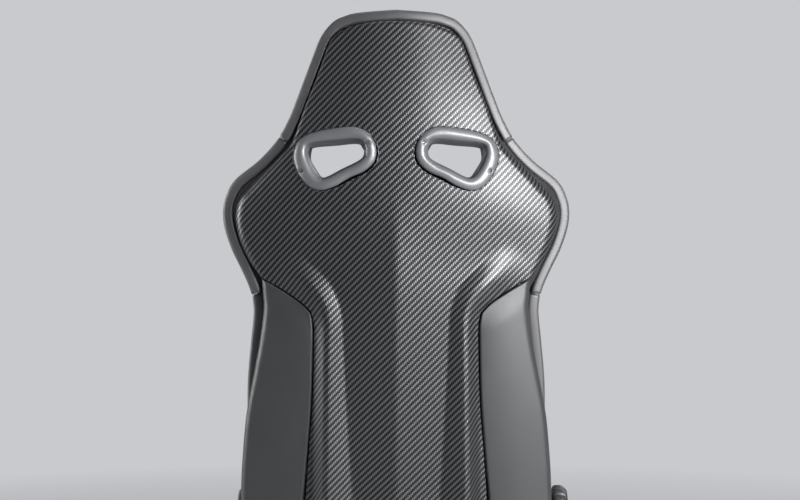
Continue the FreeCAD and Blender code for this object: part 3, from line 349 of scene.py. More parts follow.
def inward_of(points):
    """Side of a flat path that looks into the outline."""
    tangent = unit(np.gradient(points, axis=0))
    return rows_of(-tangent[:, 1], tangent[:, 0])


def bend_through(a, b, c, d, t):
    """Smooth curve from b to c, guided by the points before and after them."""
    return 0.5 * (2 * b + (c - a) * t + (2 * a - 5 * b + 4 * c - d) * t**2
                  + (3 * b - a - 3 * c + d) * t**3)


def spline(points, count, ease=1.0):
    """Smooth curve through points, as count places along it, even or crowded by ease."""
    p = np.array(points, dtype=float)
    ends = np.vstack([2 * p[0] - p[1], p, 2 * p[-1] - p[-2]])
    t = np.linspace(0.0, 1.0, 25)[:-1, None]
    parts = [bend_through(*four, t) for four in zip(ends, ends[1:], ends[2:], ends[3:])]
    dense = np.vstack(parts + [p[-1:]])
    run = travelled(dense)
    return along_path(dense, run, crowd(np.linspace(0.0, 1.0, count), ease) * run[-1])


def closed_spline(points, steps=10):
    """Smooth closed curve through points."""
    p = np.array(points, dtype=float)
    t = np.linspace(0.0, 1.0, steps + 1)[:-1, None]
    fours = zip(np.roll(p, 1, axis=0), p, np.roll(p, -1, axis=0), np.roll(p, -2, axis=0))
    return np.vstack([bend_through(*four, t) for four in fours])


def ellipse(count, wide, high):
    turn = np.linspace(0, 2 * math.pi, count, endpoint=False)
    return rows_of(wide * np.cos(turn), high * np.sin(turn))


# ------------------------------------------------------------------ mesh helpers


def deselect():
    if bpy.context.object and bpy.context.object.mode != "OBJECT":
        bpy.ops.object.mode_set(mode="OBJECT")
    bpy.ops.object.select_all(action="DESELECT")


def pick(piece):
    deselect()
    piece.select_set(True)
    bpy.context.view_layer.objects.active = piece


def rename(piece, name):
    piece.name = name
    piece.data.name = name
    return piece


def vertices(piece, what="co"):
    """Places of a piece's vertices, or their normals, one row each."""
    flat = np.empty(len(piece.data.vertices) * 3)
    piece.data.vertices.foreach_get(what, flat)
    return flat.reshape(-1, 3)


def set_vertices(piece, places):
    piece.data.vertices.foreach_set("co", np.asarray(places, dtype=np.float32).ravel())
    piece.data.update()


def new_grid(name, across, along):
    """Flat grid of quads with a UV map, and the column and row number of every vertex."""
    deselect()
    bpy.ops.mesh.primitive_grid_add(x_subdivisions=across, y_subdivisions=along, size=2)
    piece = rename(bpy.context.object, name)
    share = (vertices(piece)[:, :2] + 1) / 2
    column, row = np.rint(share * (across, along)).astype(int).T
    return piece, column, row


def from_faces(name, places, faces):
    mesh = bpy.data.meshes.new(name)
    mesh.from_pydata(places, [], faces)
    piece = bpy.data.objects.new(name, mesh)
    bpy.context.scene.collection.objects.link(piece)
    return piece


def copy_piece(item, name):
    """Copy of an object with its own mesh."""
    piece = item.copy()
    piece.data = item.data.copy()
    bpy.context.scene.collection.objects.link(piece)
    return rename(piece, name)


def set_uv(piece, flat):
    """Give every face corner its vertex's place on the flat pattern."""
    mesh = piece.data
    corner = np.empty(len(mesh.loops), dtype=int)
    mesh.loops.foreach_get("vertex_index", corner)
    mesh.uv_layers[0].data.foreach_set("uv", np.asarray(flat, dtype=np.float32)[corner].ravel())


def edit(piece, *steps, only=None):
    """Run edit-mode operators on the whole piece, or on the faces that a test picks."""
    pick(piece)
    bpy.ops.object.mode_set(mode="EDIT")
    if only:
        bpy.ops.mesh.select_mode(type="FACE")
        bpy.ops.mesh.select_all(action="DESELECT")
        bpy.ops.object.mode_set(mode="OBJECT")
        for face in piece.data.polygons:
            face.select = bool(only(face))
        bpy.ops.object.mode_set(mode="EDIT")
    else:
        bpy.ops.mesh.select_all(action="SELECT")
    for step in steps:
        step()
    bpy.ops.object.mode_set(mode="OBJECT")


def outward():
    bpy.ops.mesh.normals_make_consistent(inside=False)


def weld(piece, reach=1e-5):
    edit(piece, lambda: bpy.ops.mesh.remove_doubles(threshold=reach), outward)


def smooth(piece, degrees=180):
    pick(piece)
    if degrees >= 180:
        bpy.ops.object.shade_smooth()
    else:
        bpy.ops.object.shade_smooth_by_angle(angle=math.radians(degrees))


def modify(piece, kind, **settings):
    """Add a modifier, set it and apply it."""
    pick(piece)
    modifier = piece.modifiers.new(kind.title(), kind)
    for key, value in settings.items():
        setattr(modifier, key, value)
    bpy.ops.object.modifier_apply(modifier=modifier.name)


def bevel(piece, width):
    modify(piece, "BEVEL", width=width, segments=2, limit_method="ANGLE")


def cut(piece, tool):
    """Take a tool's volume out of a piece, and remove the tool."""
    modify(piece, "BOOLEAN", operation="DIFFERENCE", object=tool, solver="EXACT")
    bpy.data.objects.remove(tool, do_unlink=True)


def thicken(piece, wall, axis=1, sign=1):
    """Face an open sheet along an axis and give it a wall behind."""
    edit(piece, outward)
    if sum(face.normal[axis] * face.area for face in piece.data.polygons) * sign < 0:
        edit(piece, bpy.ops.mesh.flip_normals)
    modify(piece, "SOLIDIFY", thickness=wall, offset=-1.0)


def place_object(piece):
    """Move a piece's place into its mesh."""
    pick(piece)
    bpy.ops.object.transform_apply(location=True, rotation=True, scale=True)


def cylinder(sides, radius, depth, place=(0, 0, 0), turn=(0, 0, 0)):
    """Cylinder at a place, turned by angles in degrees."""
    deselect()
    bpy.ops.mesh.primitive_cylinder_add(vertices=sides, radius=radius, depth=depth, location=place,
                                        rotation=[math.radians(angle) for angle in turn])
    place_object(bpy.context.object)
    return bpy.context.object


def join(pieces, name):
    deselect()
    for piece in pieces:
        piece.select_set(True)
    bpy.context.view_layer.objects.active = pieces[0]
    bpy.ops.object.join()
    return rename(bpy.context.object, name)


def node_copy(node, name):
    """Copy of a frame node's mesh as a new, merged object."""
    item = frame["nodes"][node]
    piece = copy_piece(item, name)
    piece.parent = None
    piece.matrix_world = item.matrix_world
    piece.hide_set(False)
    piece.hide_render = False
    place_object(piece)
    weld(piece, 1e-6)
    return piece


def mirror_piece(piece, name):
    """Copy of a piece on the other side of the seat."""
    other = copy_piece(piece, name)
    set_vertices(other, vertices(other) * (-1.0, 1.0, 1.0))
    edit(other, bpy.ops.mesh.flip_normals)
    return other


def paint(piece, finish):
    piece.data.materials.clear()
    piece.data.materials.append(material(finish))


def finish_piece(piece, finish, body, slot, *replaced):
    """Give a piece its material and its body, and hide the frame nodes it stands for. The slot is
    not used.
    """
    paint(piece, finish)
    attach(piece, body)
    if replaced:
        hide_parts(*replaced)


def capped(profile, tuck, ends=2):
    """Close both ends of a swept profile with a rounded cap, tucked in to a share of its size."""
    middle = profile.mean(axis=1, keepdims=True)
    steps = [0.0] + [tuck + (1 - tuck) * k / ends for k in range(ends)]
    first = [middle[:1] + (profile[:1] - middle[:1]) * s for s in steps]
    last = [middle[-1:] + (profile[-1:] - middle[-1:]) * s for s in reversed(steps)]
    return np.concatenate(first + [profile] + last)


def sweep(name, path, side, up, profile, tuck=0.86):
    """Tube along a path: profile[i, j] gives the offsets along side[i] and up[i].

    Its ends are capped and tucked in; with no tuck its path closes on itself instead.
    """
    around = profile.shape[-2]
    profile = np.broadcast_to(profile, (len(path), around, 2))
    side, up = (np.broadcast_to(way, path.shape) for way in (side, up))
    if tuck:
        profile = capped(profile, tuck)
        spare = (len(profile) - len(path)) // 2
        path, side, up = (np.pad(rows, ((spare, spare), (0, 0)), mode="edge")
                          for rows in (path, side, up))
    count = len(path)
    piece, column, row = new_grid(name, around, count - 1 if tuck else count)
    i, j = row % count, column % around
    set_vertices(piece, path[i] + side[i] * profile[i, j, :1] + up[i] * profile[i, j, 1:])
    run = travelled(np.vstack([path, path[:1]]))
    reach = np.linalg.norm(profile[0, 0] - profile[0, 1]) + 1e-4
    set_uv(piece, rows_of(column * reach, run[row]))
    weld(piece)
    return piece


# --------------------------------------------------------------------- materials


class Nodes:
    """Short way to build a node tree."""

    def __init__(self, tree):
        self.tree = tree

    def plug(self, socket, value):
        """Link an output to a socket, or set the socket's own value."""
        if isinstance(value, bpy.types.NodeSocket):
            self.tree.links.new(value, socket)
        elif socket.type == "RGBA":
            socket.default_value = (*tuple(value)[:3], 1.0)
        else:
            socket.default_value = value

    def fill(self, sockets, **values):
        """Plug sockets by their labels, with underscores for spaces."""
        for label, value in values.items():
            self.plug(sockets[label.replace("_", " ")], value)

    def add(self, kind, inputs=(), **settings):
        """Node with its settings and, by label or number, its inputs."""
        node = self.tree.nodes.new(kind)
        for key, value in settings.items():
            setattr(node, key, value)
        for key, value in dict(inputs).items():
            self.plug(node.inputs[key], value)
        return node

    def math(self, operation, *values):
        return self.add("ShaderNodeMath", enumerate(values), operation=operation).outputs[0]

    def plus(self, a, b):
        return self.math("ADD", a, b)

    def times(self, a, b):
        return self.math("MULTIPLY", a, b)

    def mix(self, share, a, b):
        """Colour between a and b."""
        node = self.add("ShaderNodeMix", {0: share, 6: a, 7: b}, data_type="RGBA")
        return node.outputs[2]

    def noise(self, vector, scale, detail=2.0, rough=0.5):
        node = self.add("ShaderNodeTexNoise", {"Vector": vector, "Scale": scale, "Detail": detail,
                                               "Roughness": rough})
        return node.outputs["Fac"]

    def spread(self, value, low, high, to_low=0.0, to_high=1.0):
        """Value mapped from low..high to to_low..to_high, and held within them."""
        values = enumerate((value, low, high, to_low, to_high))
        return self.add("ShaderNodeMapRange", values).outputs[0]

    def bump(self, height, depth, strength):
        node = self.add("ShaderNodeBump", {"Strength": strength, "Distance": depth,
                                           "Height": height})
        return node.outputs[0]

    def blend(self, output, share, shader, other):
        """Send a mix of two shaders to an output node."""
        node = self.add("ShaderNodeMixShader", {0: share, 1: shader, 2: other})
        self.plug(output.inputs["Surface"], node.outputs[0])


def new_group(name, inputs, outputs):
    """Node group as its nodes, its inputs and its outputs; an input without a value is a vector."""
    nodes = Nodes(bpy.data.node_groups.new(name, "ShaderNodeTree"))
    add_socket = nodes.tree.interface.new_socket
    for label, value in inputs.items():
        if value is None:
            add_socket(name=label, in_out="INPUT", socket_type="NodeSocketVector")
        else:
            socket = add_socket(name=label, in_out="INPUT", socket_type="NodeSocketFloat")
            socket.default_value = value
    for label in outputs:
        add_socket(name=label, in_out="OUTPUT", socket_type="NodeSocketFloat")
    return nodes, nodes.add("NodeGroupInput").outputs, nodes.add("NodeGroupOutput").inputs


def grain_group():
    """Fine irregular grain with a slow change of tone over it."""
    nodes, start, end = new_group(
        "Grain", {"Vector": None, "Scale": 900.0, "Patch scale": 9.0}, ("Height", "Patch"))
    cells = nodes.add("ShaderNodeTexVoronoi",
                      {"Vector": start["Vector"], "Scale": start["Scale"]}, feature="F1")
    fine = nodes.noise(start["Vector"], start["Scale"], 3.0)
    height = nodes.plus(nodes.times(cells.outputs["Distance"], 0.7), nodes.times(fine, 0.5))
    nodes.fill(end, Height=height, Patch=nodes.noise(start["Vector"], start["Patch scale"]))
    return nodes.tree


def wear_group():
    """Mask of sharp convex edges and a faint scatter of dust and rubbing."""
    nodes, start, end = new_group("Edge wear", {"Vector": None, "Amount": 0.5}, ("Edge", "Dust"))
    shape = nodes.add("ShaderNodeNewGeometry")
    edge = nodes.spread(shape.outputs["Pointiness"], 0.52, 0.60)
    broken = nodes.noise(start["Vector"], 160.0, 3.0)
    edge = nodes.times(edge, nodes.spread(broken, 0.40, 0.62))
    dust = nodes.noise(start["Vector"], 26.0, 4.0, 0.62)
    nodes.fill(end, Edge=nodes.times(edge, start["Amount"]), Dust=nodes.spread(dust, 0.45, 0.80))
    return nodes.tree


def twill_group():
    """2x2 twill: which tow is on top, its rounded height, and a streak along its fibres."""
    nodes, start, end = new_group(
        "Twill", {"Vector": None, "Tow": 0.00275}, ("Upright", "Height", "Streak"))
    split = nodes.add("ShaderNodeSeparateXYZ", {0: start["Vector"]})
    u = nodes.math("DIVIDE", split.outputs["X"], start["Tow"])
    v = nodes.math("DIVIDE", split.outputs["Y"], start["Tow"])
    column = nodes.math("FLOOR", u)
    row = nodes.math("FLOOR", v)
    phase = nodes.math("FLOORED_MODULO", nodes.plus(column, row), 4.0)
    upright = nodes.math("LESS_THAN", phase, 1.5)

    def on_top(across, up):
        """Value of whichever tow is on top."""
        node = nodes.add("ShaderNodeMix", {0: upright, 2: across, 3: up}, data_type="FLOAT")
        return node.outputs[0]

    def crown(place):
        """Rounded section across a tow."""
        off = nodes.math("SUBTRACT", nodes.math("FRACT", place), 0.5)
        return nodes.math("SUBTRACT", 1.0, nodes.times(nodes.times(off, off), 3.6))

    def arch(place, turn):
        """Each tow rises over two neighbours and dips where it goes under."""
        part = nodes.math("FLOORED_MODULO", nodes.plus(place, turn), 4.0)
        part = nodes.math("FRACT", nodes.math("DIVIDE", part, 2.0))
        return nodes.math("POWER", nodes.math("SINE", nodes.times(part, math.pi)), 0.6)

    def fibres(u_scale, v_scale):
        place = nodes.add("ShaderNodeCombineXYZ",
                          {0: nodes.times(u, u_scale), 1: nodes.times(v, v_scale)})
        return nodes.noise(place.outputs[0], 1.0, 1.0)

    tall = nodes.times(crown(u), arch(v, column))
    wide = nodes.times(crown(v), arch(u, row))
    nodes.fill(end, Upright=upright, Height=on_top(wide, tall),
               Streak=on_top(fibres(0.35, 9.0), fibres(9.0, 0.35)))
    return nodes.tree


GROUPS = {"Grain": grain_group, "Edge wear": wear_group, "Twill": twill_group}


def use_group(nodes, name, **values):
    """Place a shared group in a material, building it the first time; gives its outputs."""
    node = nodes.add("ShaderNodeGroup",
                     node_tree=bpy.data.node_groups.get(name) or GROUPS[name]())
    nodes.fill(node.inputs, **values)
    return node.outputs


def new_material(name, rough, metal=0.0, **plain):
    """Material, its nodes, its Principled shader's inputs, and its coordinates."""
    made = bpy.data.materials.new(name)
    made.use_nodes = True
    nodes = Nodes(made.node_tree)
    shader = nodes.tree.nodes["Principled BSDF"].inputs
    nodes.fill(shader, Roughness=rough, Metallic=metal, **plain)
    return made, nodes, shader, nodes.add("ShaderNodeTexCoord").outputs


def carbon_material():
    finish = bpy.context.scene.seat_finish
    made, nodes, shader, place = new_material(
        "Carbon twill", 0.36, Coat_Weight=0.32, Coat_Roughness=0.28, Specular_IOR_Level=0.12)
    turn = nodes.add("ShaderNodeMapping",
                     {"Vector": place["UV"], "Rotation": (0, 0, finish.weave_turn)})
    twill = use_group(nodes, "Twill", Vector=turn.outputs[0], Tow=finish.tow_width)
    upright = twill["Upright"]
    # Painted light: upright tows take the lighter colour as painted sheen, and tows that run across
    # take the near-black one as painted shade.
    colour = nodes.mix(upright, finish.carbon_painted_shaded_tows, finish.carbon_painted_lit_tows)
    # Painted shade: each tow's colour darkens towards its edges, where it dips beside its
    # neighbours.
    shade = nodes.spread(twill["Height"], 0.05, 0.85, 0.12, 1.0)
    colour = nodes.mix(shade, (0.002, 0.002, 0.0022), colour)
    streak = nodes.spread(twill["Streak"], 0.3, 0.7, 0.72, 1.0)
    nodes.fill(shader, Base_Color=nodes.mix(streak, (0.004, 0.004, 0.0045), colour),
               Metallic=nodes.times(nodes.times(upright, shade), 0.85),
               Roughness=nodes.spread(upright, 0.0, 1.0, 0.50, 0.42),
               Normal=nodes.bump(twill["Height"], 0.00032, 0.85))
    return made


def leather_material(name, colour, rough, level):
    """Grained leather with softly uneven gloss."""
    made, nodes, shader, place = new_material(
        name, rough, Sheen_Weight=0.06, Sheen_Roughness=0.45, Specular_IOR_Level=level)
    grain = use_group(nodes, "Grain", Vector=place["Object"], Scale=820.0, Patch_scale=11.0)
    pale = [c * 1.2 for c in colour]
    tone = nodes.mix(nodes.spread(grain["Patch"], 0.35, 0.7), colour, pale)
    deep = nodes.spread(grain["Height"], 0.15, 0.55, 0.70, 1.0)
    nodes.fill(shader, Base_Color=nodes.mix(deep, (0.004, 0.004, 0.0045), tone),
               Roughness=nodes.spread(grain["Patch"], 0.3, 0.75, rough - 0.04, rough + 0.04),
               Normal=nodes.bump(grain["Height"], 0.00022, 0.5))
    return made


def napped_material(name, colour, sheen, rough, patch, level=0.25):
    """Short-napped cover: soft, with faint brushed patches."""
    made, nodes, shader, place = new_material(
        name, rough, Sheen_Weight=sheen, Sheen_Roughness=0.40, Specular_IOR_Level=level)
    grain = use_group(nodes, "Grain", Vector=place["Object"], Scale=1500.0, Patch_scale=14.0)
    brushed = [c * (1.0 + patch) for c in colour]
    tone = nodes.mix(nodes.spread(grain["Patch"], 0.38, 0.66), colour, brushed)
    fine = nodes.spread(grain["Height"], 0.1, 0.6, 0.72, 1.0)
    nodes.fill(shader, Base_Color=nodes.mix(fine, (0.006, 0.006, 0.007), tone),
               Normal=nodes.bump(grain["Height"], 0.00020, 0.6))
    return made


def painted_material(name, colour, rough, wear=0.4, metal=0.0, grain=1500.0, depth=0.00004):
    """Satin paint or moulded plastic with fine texture, rubbed edges and a little dust."""
    made, nodes, shader, place = new_material(name, rough, metal, Specular_IOR_Level=0.5)
    worn = use_group(nodes, "Edge wear", Vector=place["Object"], Amount=wear)
    fine = use_group(nodes, "Grain", Vector=place["Object"], Scale=grain, Patch_scale=20.0)
    warm = [c * 1.25 for c in colour]
    bare = [min(1.0, c * 2.2 + 0.05) for c in colour]
    tone = nodes.mix(nodes.spread(fine["Patch"], 0.3, 0.75), colour, warm)
    nodes.fill(shader, Base_Color=nodes.mix(worn["Edge"], tone, bare),
               Roughness=nodes.spread(worn["Dust"], 0.0, 1.0, rough, min(1.0, rough + 0.12)),
               Normal=nodes.bump(fine["Height"], depth, 0.5))
    return made


def metal_material(name, colour, rough, stretch):
    """Plated or drawn steel with fine scratches along one direction."""
    made, nodes, shader, place = new_material(name, rough, 1.0)
    turn = nodes.add("ShaderNodeMapping", {"Vector": place["Object"], "Scale": stretch})
    lines = nodes.noise(turn.outputs[0], 90.0, 3.0, 0.6)
    worn = use_group(nodes, "Edge wear", Vector=place["Object"], Amount=0.5)
    dull = [c * 0.82 for c in colour]
    bright = [min(1.0, c * 1.35) for c in colour]
    tone = nodes.mix(nodes.spread(lines, 0.3, 0.7), dull, colour)
    nodes.fill(shader, Base_Color=nodes.mix(worn["Edge"], tone, bright),
               Roughness=nodes.spread(worn["Dust"], 0.0, 1.0, rough, rough + 0.14),
               Normal=nodes.bump(lines, 0.00003, 0.4))
    return made


def floor_material(tone):
    """Pale floor that takes the seat's shadow near it and meets the backdrop's tone far off."""
    made, nodes, shader, place = new_material("Studio floor", 0.8, Specular_IOR_Level=0.1)
    mottle = nodes.spread(nodes.noise(place["Object"], 1.5), 0.3, 0.7)
    nodes.fill(shader, Base_Color=nodes.mix(mottle, [c * 0.985 for c in tone], tone))
    distant = nodes.add("ShaderNodeEmission", {"Color": tone})
    reach = nodes.add("ShaderNodeVectorMath", {0: place["Object"]}, operation="LENGTH")
    path = nodes.add("ShaderNodeLightPath")
    share = nodes.times(nodes.spread(reach.outputs["Value"], 0.8, 2.3),
                        path.outputs["Is Camera Ray"])
    nodes.blend(nodes.tree.nodes["Material Output"], share,
                nodes.tree.nodes["Principled BSDF"].outputs[0], distant.outputs[0])
    return made


def make_materials():
    finish = bpy.context.scene.seat_finish
    return {
        "carbon": carbon_material(),
        "leather": leather_material("Grained leather", finish.leather, 0.54, 0.36),
        "edge": leather_material("Edge leather", finish.edge, 0.46, 0.62),
        "suede": napped_material("Napped suede", finish.suede, 0.45, 0.86, 0.35),
        "panel": napped_material("Panel cover", finish.panel, 0.08, 0.42, 0.12, 0.6),
        "bezel": painted_material("Satin bezel", finish.bezel, 0.38, 0.25, metal=0.35),
        "plastic": painted_material("Black moulding", (0.018, 0.018, 0.019), 0.42, 0.3,
                                    depth=0.00008),
        "black_steel": painted_material("Black coated steel", (0.020, 0.020, 0.022), 0.36, 0.6),
        "zinc": metal_material("Plated steel", (0.38, 0.39, 0.41), 0.42, (1.0, 0.04, 1.0)),
        "steel": metal_material("Plain steel", (0.46, 0.46, 0.47), 0.28, (0.05, 1.0, 1.0)),
        "thread": painted_material("Sewing thread", finish.thread, 0.7, 0.0, grain=4000.0),
        # Near-black liner: painted shade put into the gaps and behind the pads.
        "gap": painted_material("Shadow liner", (0.008, 0.008, 0.009), 0.85, 0.0),
    }


MATERIALS = {}


def material(name):
    """Material of this seat by its short name, made on first use."""
    if not MATERIALS:
        MATERIALS.update(make_materials())
    return MATERIALS[name]


# -------------------------------------------------------------------- back shell


def shell_rows():
    """Edge and centre-line places of each row of the shell's grid, low to high."""
    edge, centre = [], []
    for points, count, low, high, ease in SHELL_STRETCHES:
        last = count if points is SHELL_HIGH else count - 1
        share = crowd(np.linspace(0.0, 1.0, count), ease)
        edge.append(spline(points, count, ease)[:last])
        centre.append((low + (high - low) * share)[:last])
    return np.vstack(edge), np.concatenate(centre)


def build_shell():
    """Carbon shell: one grid fitted to its outline, folded, ridged, and rolled at its edge."""
    across = 148
    edge, centre = shell_rows()
    rows = len(edge) - 1
    piece, column, row = new_grid("carbon_back_shell", across, rows)
    u = np.sin(((column / across) * 2.0 - 1.0) * math.pi / 2)
    edge_x, edge_z = edge[row].T
    bend = 2.0 + 0.7 * smooth_step(0.9, 1.0, row / rows)
    x = u * edge_x
    z = centre[row] + (edge_z - centre[row]) * np.abs(u)**bend
    y = rear_y(x, z)
    # roll the edge forward: tight where the side panels meet it, fuller above
    upright = np.abs(unit(np.gradient(edge, axis=0))[row, 1])
    side_gap = (1.0 - np.abs(u)) * edge_x * np.maximum(0.25, upright)
    top_gap = (1.0278 - 0.0190 * np.abs(x / 0.0965)**2.6) - z
    wing = smooth_step(0.603, 0.652, edge_z) * (1.0 - smooth_step(0.770, 0.860, edge_z))
    top_roll = 0.0018 + 0.0042 * smooth_step(0.598, 0.612, edge_z)
    y = y - roll(side_gap, top_roll + 0.0085 * wing, 0.98)
    y = y - roll(np.where(z > 0.96, np.maximum(top_gap, 0.0), 1.0), top_roll, 0.98)
    set_vertices(piece, rows_of(x, y, z))

    # flat pattern: distance along each row, so that the cloth follows the folds
    sheet = np.empty((2, rows + 1, across + 1))
    sheet[:, row, column] = x, y
    run = np.cumsum(np.hypot(*np.diff(sheet, axis=2)), axis=1)
    run = np.concatenate([np.zeros((rows + 1, 1)), run], axis=1)
    run = run - run[:, across // 2, None]
    set_uv(piece, rows_of(run[row, column], z))
    thicken(piece, shape_settings().shell_wall)
    for side, sign in SIDES:
        cut_belt_hole(piece, sign)
    smooth(piece, 32)
    finish_piece(piece, "carbon", "backrest", "carbon", "back_shell")


def build_clips():
    """Moulded clips that carry the shell, trimmed to stay under its inner face."""
    piece = node_copy("shell_clips", "shell_clip_set")
    places = vertices(piece)
    under = rear_y(places[:, 0], places[:, 2]) - 0.0055
    places[:, 1] = np.minimum(places[:, 1], under)
    set_vertices(piece, places)
    bevel(piece, 0.0012)
    smooth(piece, 40)
    finish_piece(piece, "plastic", "backrest", "plastic", "shell_clips")


# ------------------------------------------------------------------ belt openings


class Opening:
    """Belt opening on one side: its middle, and its bezel's and hole's radius at each angle."""

    def __init__(self, sign, count):
        self.sign = sign
        self.middle = (sign * BEZEL_MIDDLE[0], BEZEL_MIDDLE[1])
        self.angles = np.linspace(-math.pi, math.pi, count, endpoint=False)
        self.outer = self.radius_to(BEZEL_OUTER)
        self.hole = self.radius_to(BEZEL_HOLE)

    def radius_to(self, corners):
        """Distance from the middle to a smooth outline along each angle."""
        away = closed_spline(corners) * (self.sign, 1.0) - self.middle
        theta = np.arctan2(away[:, 1], away[:, 0])
        return np.hypot(*(np.interp(self.angles, theta, column, period=2 * math.pi)
                          for column in away.T))

    def place(self, radius, at=slice(None)):
        """x and z at a radius along the angles."""
        return (self.middle[0] + radius * np.cos(self.angles[at]),
                self.middle[1] + radius * np.sin(self.angles[at]))

    def cut_radius(self, clear):
        """Radius of the hole in the shell: wider than the bezel, mostly low and inwards."""
        inward = np.cos(self.angles - math.atan2(-0.6, -self.sign * 0.8))
        return self.outer + clear + 0.0042 * np.clip(inward, 0.0, 1.0)**1.5

    def level(self, x):
        """Flat plane through the middle, in which the tunnel is square."""
        middle_x, middle_z = self.middle
        reach = 0.03
        ends = [base_y(middle_x + away, middle_z) for away in (-reach, reach)]
        slope = (ends[1] - ends[0]) / (2 * reach)
        return base_y(middle_x, middle_z) + slope * (x - middle_x)

    def ring(self, name, section):
        """Closed ring of quads, with its section's columns and its angle's number per vertex."""
        piece, column, row = new_grid(name, len(section), len(self.angles))
        return piece, np.array(section)[column % len(section)].T, row % len(self.angles)


def cut_belt_hole(shell, sign):
    """Cut the belt opening through the shell."""
    opening = Opening(sign, 96)
    tool = cylinder(96, 1.0, 0.3)
    x, z, depth = vertices(tool).T
    theta = np.arctan2(z, x)
    reach = np.interp(theta, opening.angles, opening.cut_radius(clear=0.0008), period=2 * math.pi)
    set_vertices(tool, rows_of(opening.middle[0] + reach * np.cos(theta), PIVOT.y + 0.2 + depth,
                               opening.middle[1] + reach * np.sin(theta)))
    edit(tool, outward)
    cut(shell, tool)


def build_hole_lips():
    """Thin rolled lip round each belt opening in the shell."""
    for side, sign in SIDES:
        opening = Opening(sign, 96)
        x, z = opening.place(opening.cut_radius(clear=0.0009))
        path = rows_of(x, rear_y(x, z) - 0.0012, z)
        cos, sin = np.cos(opening.angles), np.sin(opening.angles)
        piece = sweep("belt_opening_lip_" + side, path, rows_of(cos, 0.0, sin),
                      TO_REAR, ellipse(10, 0.0012, 0.0016), tuck=None)
        smooth(piece)
        finish_piece(piece, "carbon", "backrest", "carbon")


def build_bezels():
    """Rounded ring round each belt opening, rolled into a tunnel that runs forwards."""
    tall = shape_settings().bezel_proud / 0.0077
    for side, sign in SIDES:
        opening = Opening(sign, 144)
        piece, (share, offset, height), i = opening.ring("belt_bezel_rear_" + side, REAR_SECTION)
        outer, hole = opening.outer[i], opening.hole[i]
        radius = hole + (outer - hole) * share + offset
        x, z = opening.place(radius, i)
        y = rear_y(*opening.place(np.minimum(radius, outer - 0.002), i))
        deep = smooth_step(0.0, 0.02, -height)
        y = y * (1 - deep) + opening.level(x) * deep
        set_vertices(piece, rows_of(x, y + height * tall, z))
        weld(piece)
        sink_screw_seats(piece, sign)
        smooth(piece)
        finish_piece(piece, "bezel", "backrest", "bezel", "rear_bezel_" + side)


def build_front_bezels():
    """Rounded rings where the belt tunnels come out of the shoulder pad."""
    front = 0.1175
    for side, sign in SIDES:
        opening = Opening(sign, 120)
        piece, (offset, height), i = opening.ring("belt_bezel_front_" + side, FRONT_SECTION)
        x, z = opening.place(opening.hole[i] + offset, i)
        set_vertices(piece, rows_of(x, opening.level(x) - front - height, z))
        weld(piece)
        smooth(piece, 50)
        finish_piece(piece, "bezel", "backrest", "bezel", "front_bezel_" + side)


def sink_screw_seats(piece, sign):
    """Sink a small seat into the bezel at each screw."""
    places = vertices(piece)
    for x, z in SCREW_PLACES:
        away = np.hypot(places[:, 0] - sign * x, places[:, 2] - z)
        dip = 1.0 - smooth_step(0.0028, 0.0050, away)
        rear = places[:, 1] > rear_y(sign * x, z) - 0.002
        places[:, 1] -= np.where(rear, 0.0024 * dip, 0.0)
    set_vertices(piece, places)


def socket_screw(place, turn, facing, sides, radius, height, wall, sink, edge):
    """Screw head whose socket is sunk into the end that faces a direction.

    The wall is left round the socket, sink is its depth, and edge the bevel's width.
    """
    facing = Vector(facing)
    screw = cylinder(sides, radius, height, place, turn)
    sunk = {"value": tuple(-sink * facing)}
    edit(screw, lambda: bpy.ops.mesh.inset(thickness=wall),
         lambda: bpy.ops.mesh.extrude_region_move(TRANSFORM_OT_translate=sunk),
         only=lambda face: face.normal.dot(facing) > 0.9)
    bevel(screw, edge)
    return screw


def build_screws():
    """Small socket-head screws in the bezels."""
    screws = []
    for side, sign in SIDES:
        for x, z in SCREW_PLACES:
            place = (sign * x, float(rear_y(sign * x, z)) + 0.0038, z)
            screws.append(socket_screw(place, (-90, 0, 0), TO_REAR, sides=24, radius=0.0029,
                                       height=0.0040, wall=0.0013, sink=0.0016, edge=0.0004))
    joined = join(screws, "bezel_screw_set")
    smooth(joined, 40)
    finish_piece(joined, "black_steel", "backrest", "steel", "bezel_screws")


# -------------------------------------------------------------------- padded edge


def superellipse(count, power):
    """Unit rounded rectangle as (across, deep) pairs, wound once round."""
    circle = ellipse(count, 1.0, 1.0)
    return np.sign(circle) * np.abs(circle)**(2 / power)


def rim_piece(name, points, width, inset, depth):
    """Rounded padded roll along part of the outline, tucked in at its two seams.

    Its rear lies an inset below the rear surface.
    """
    inward = inward_of(points)
    middle = points + inward * (width / 2)
    x, z = middle.T
    path = rows_of(x, base_y(x, z) - inset - depth / 2, z)
    near, far = (middle + inward * reach for reach in (-0.005, 0.005))
    slope = (base_y(*far.T) - base_y(*near.T)) / 0.01
    side = rows_of(inward[:, 0], slope * 0.6, inward[:, 1])
    run = travelled(points)
    seam = np.minimum(run, run[-1] - run)
    pinch = 1.0 - 0.10 * (1.0 - smooth_step(0.0, 0.0035, seam))
    profile = superellipse(36, 4.2) * (width / 2, depth / 2) * pinch[:, None, None]
    piece = sweep("padded_edge_" + name, path, side, TO_REAR, profile)
    smooth(piece, 60)
    finish_piece(piece, "edge", "backrest", "leather", "rim_" + name)


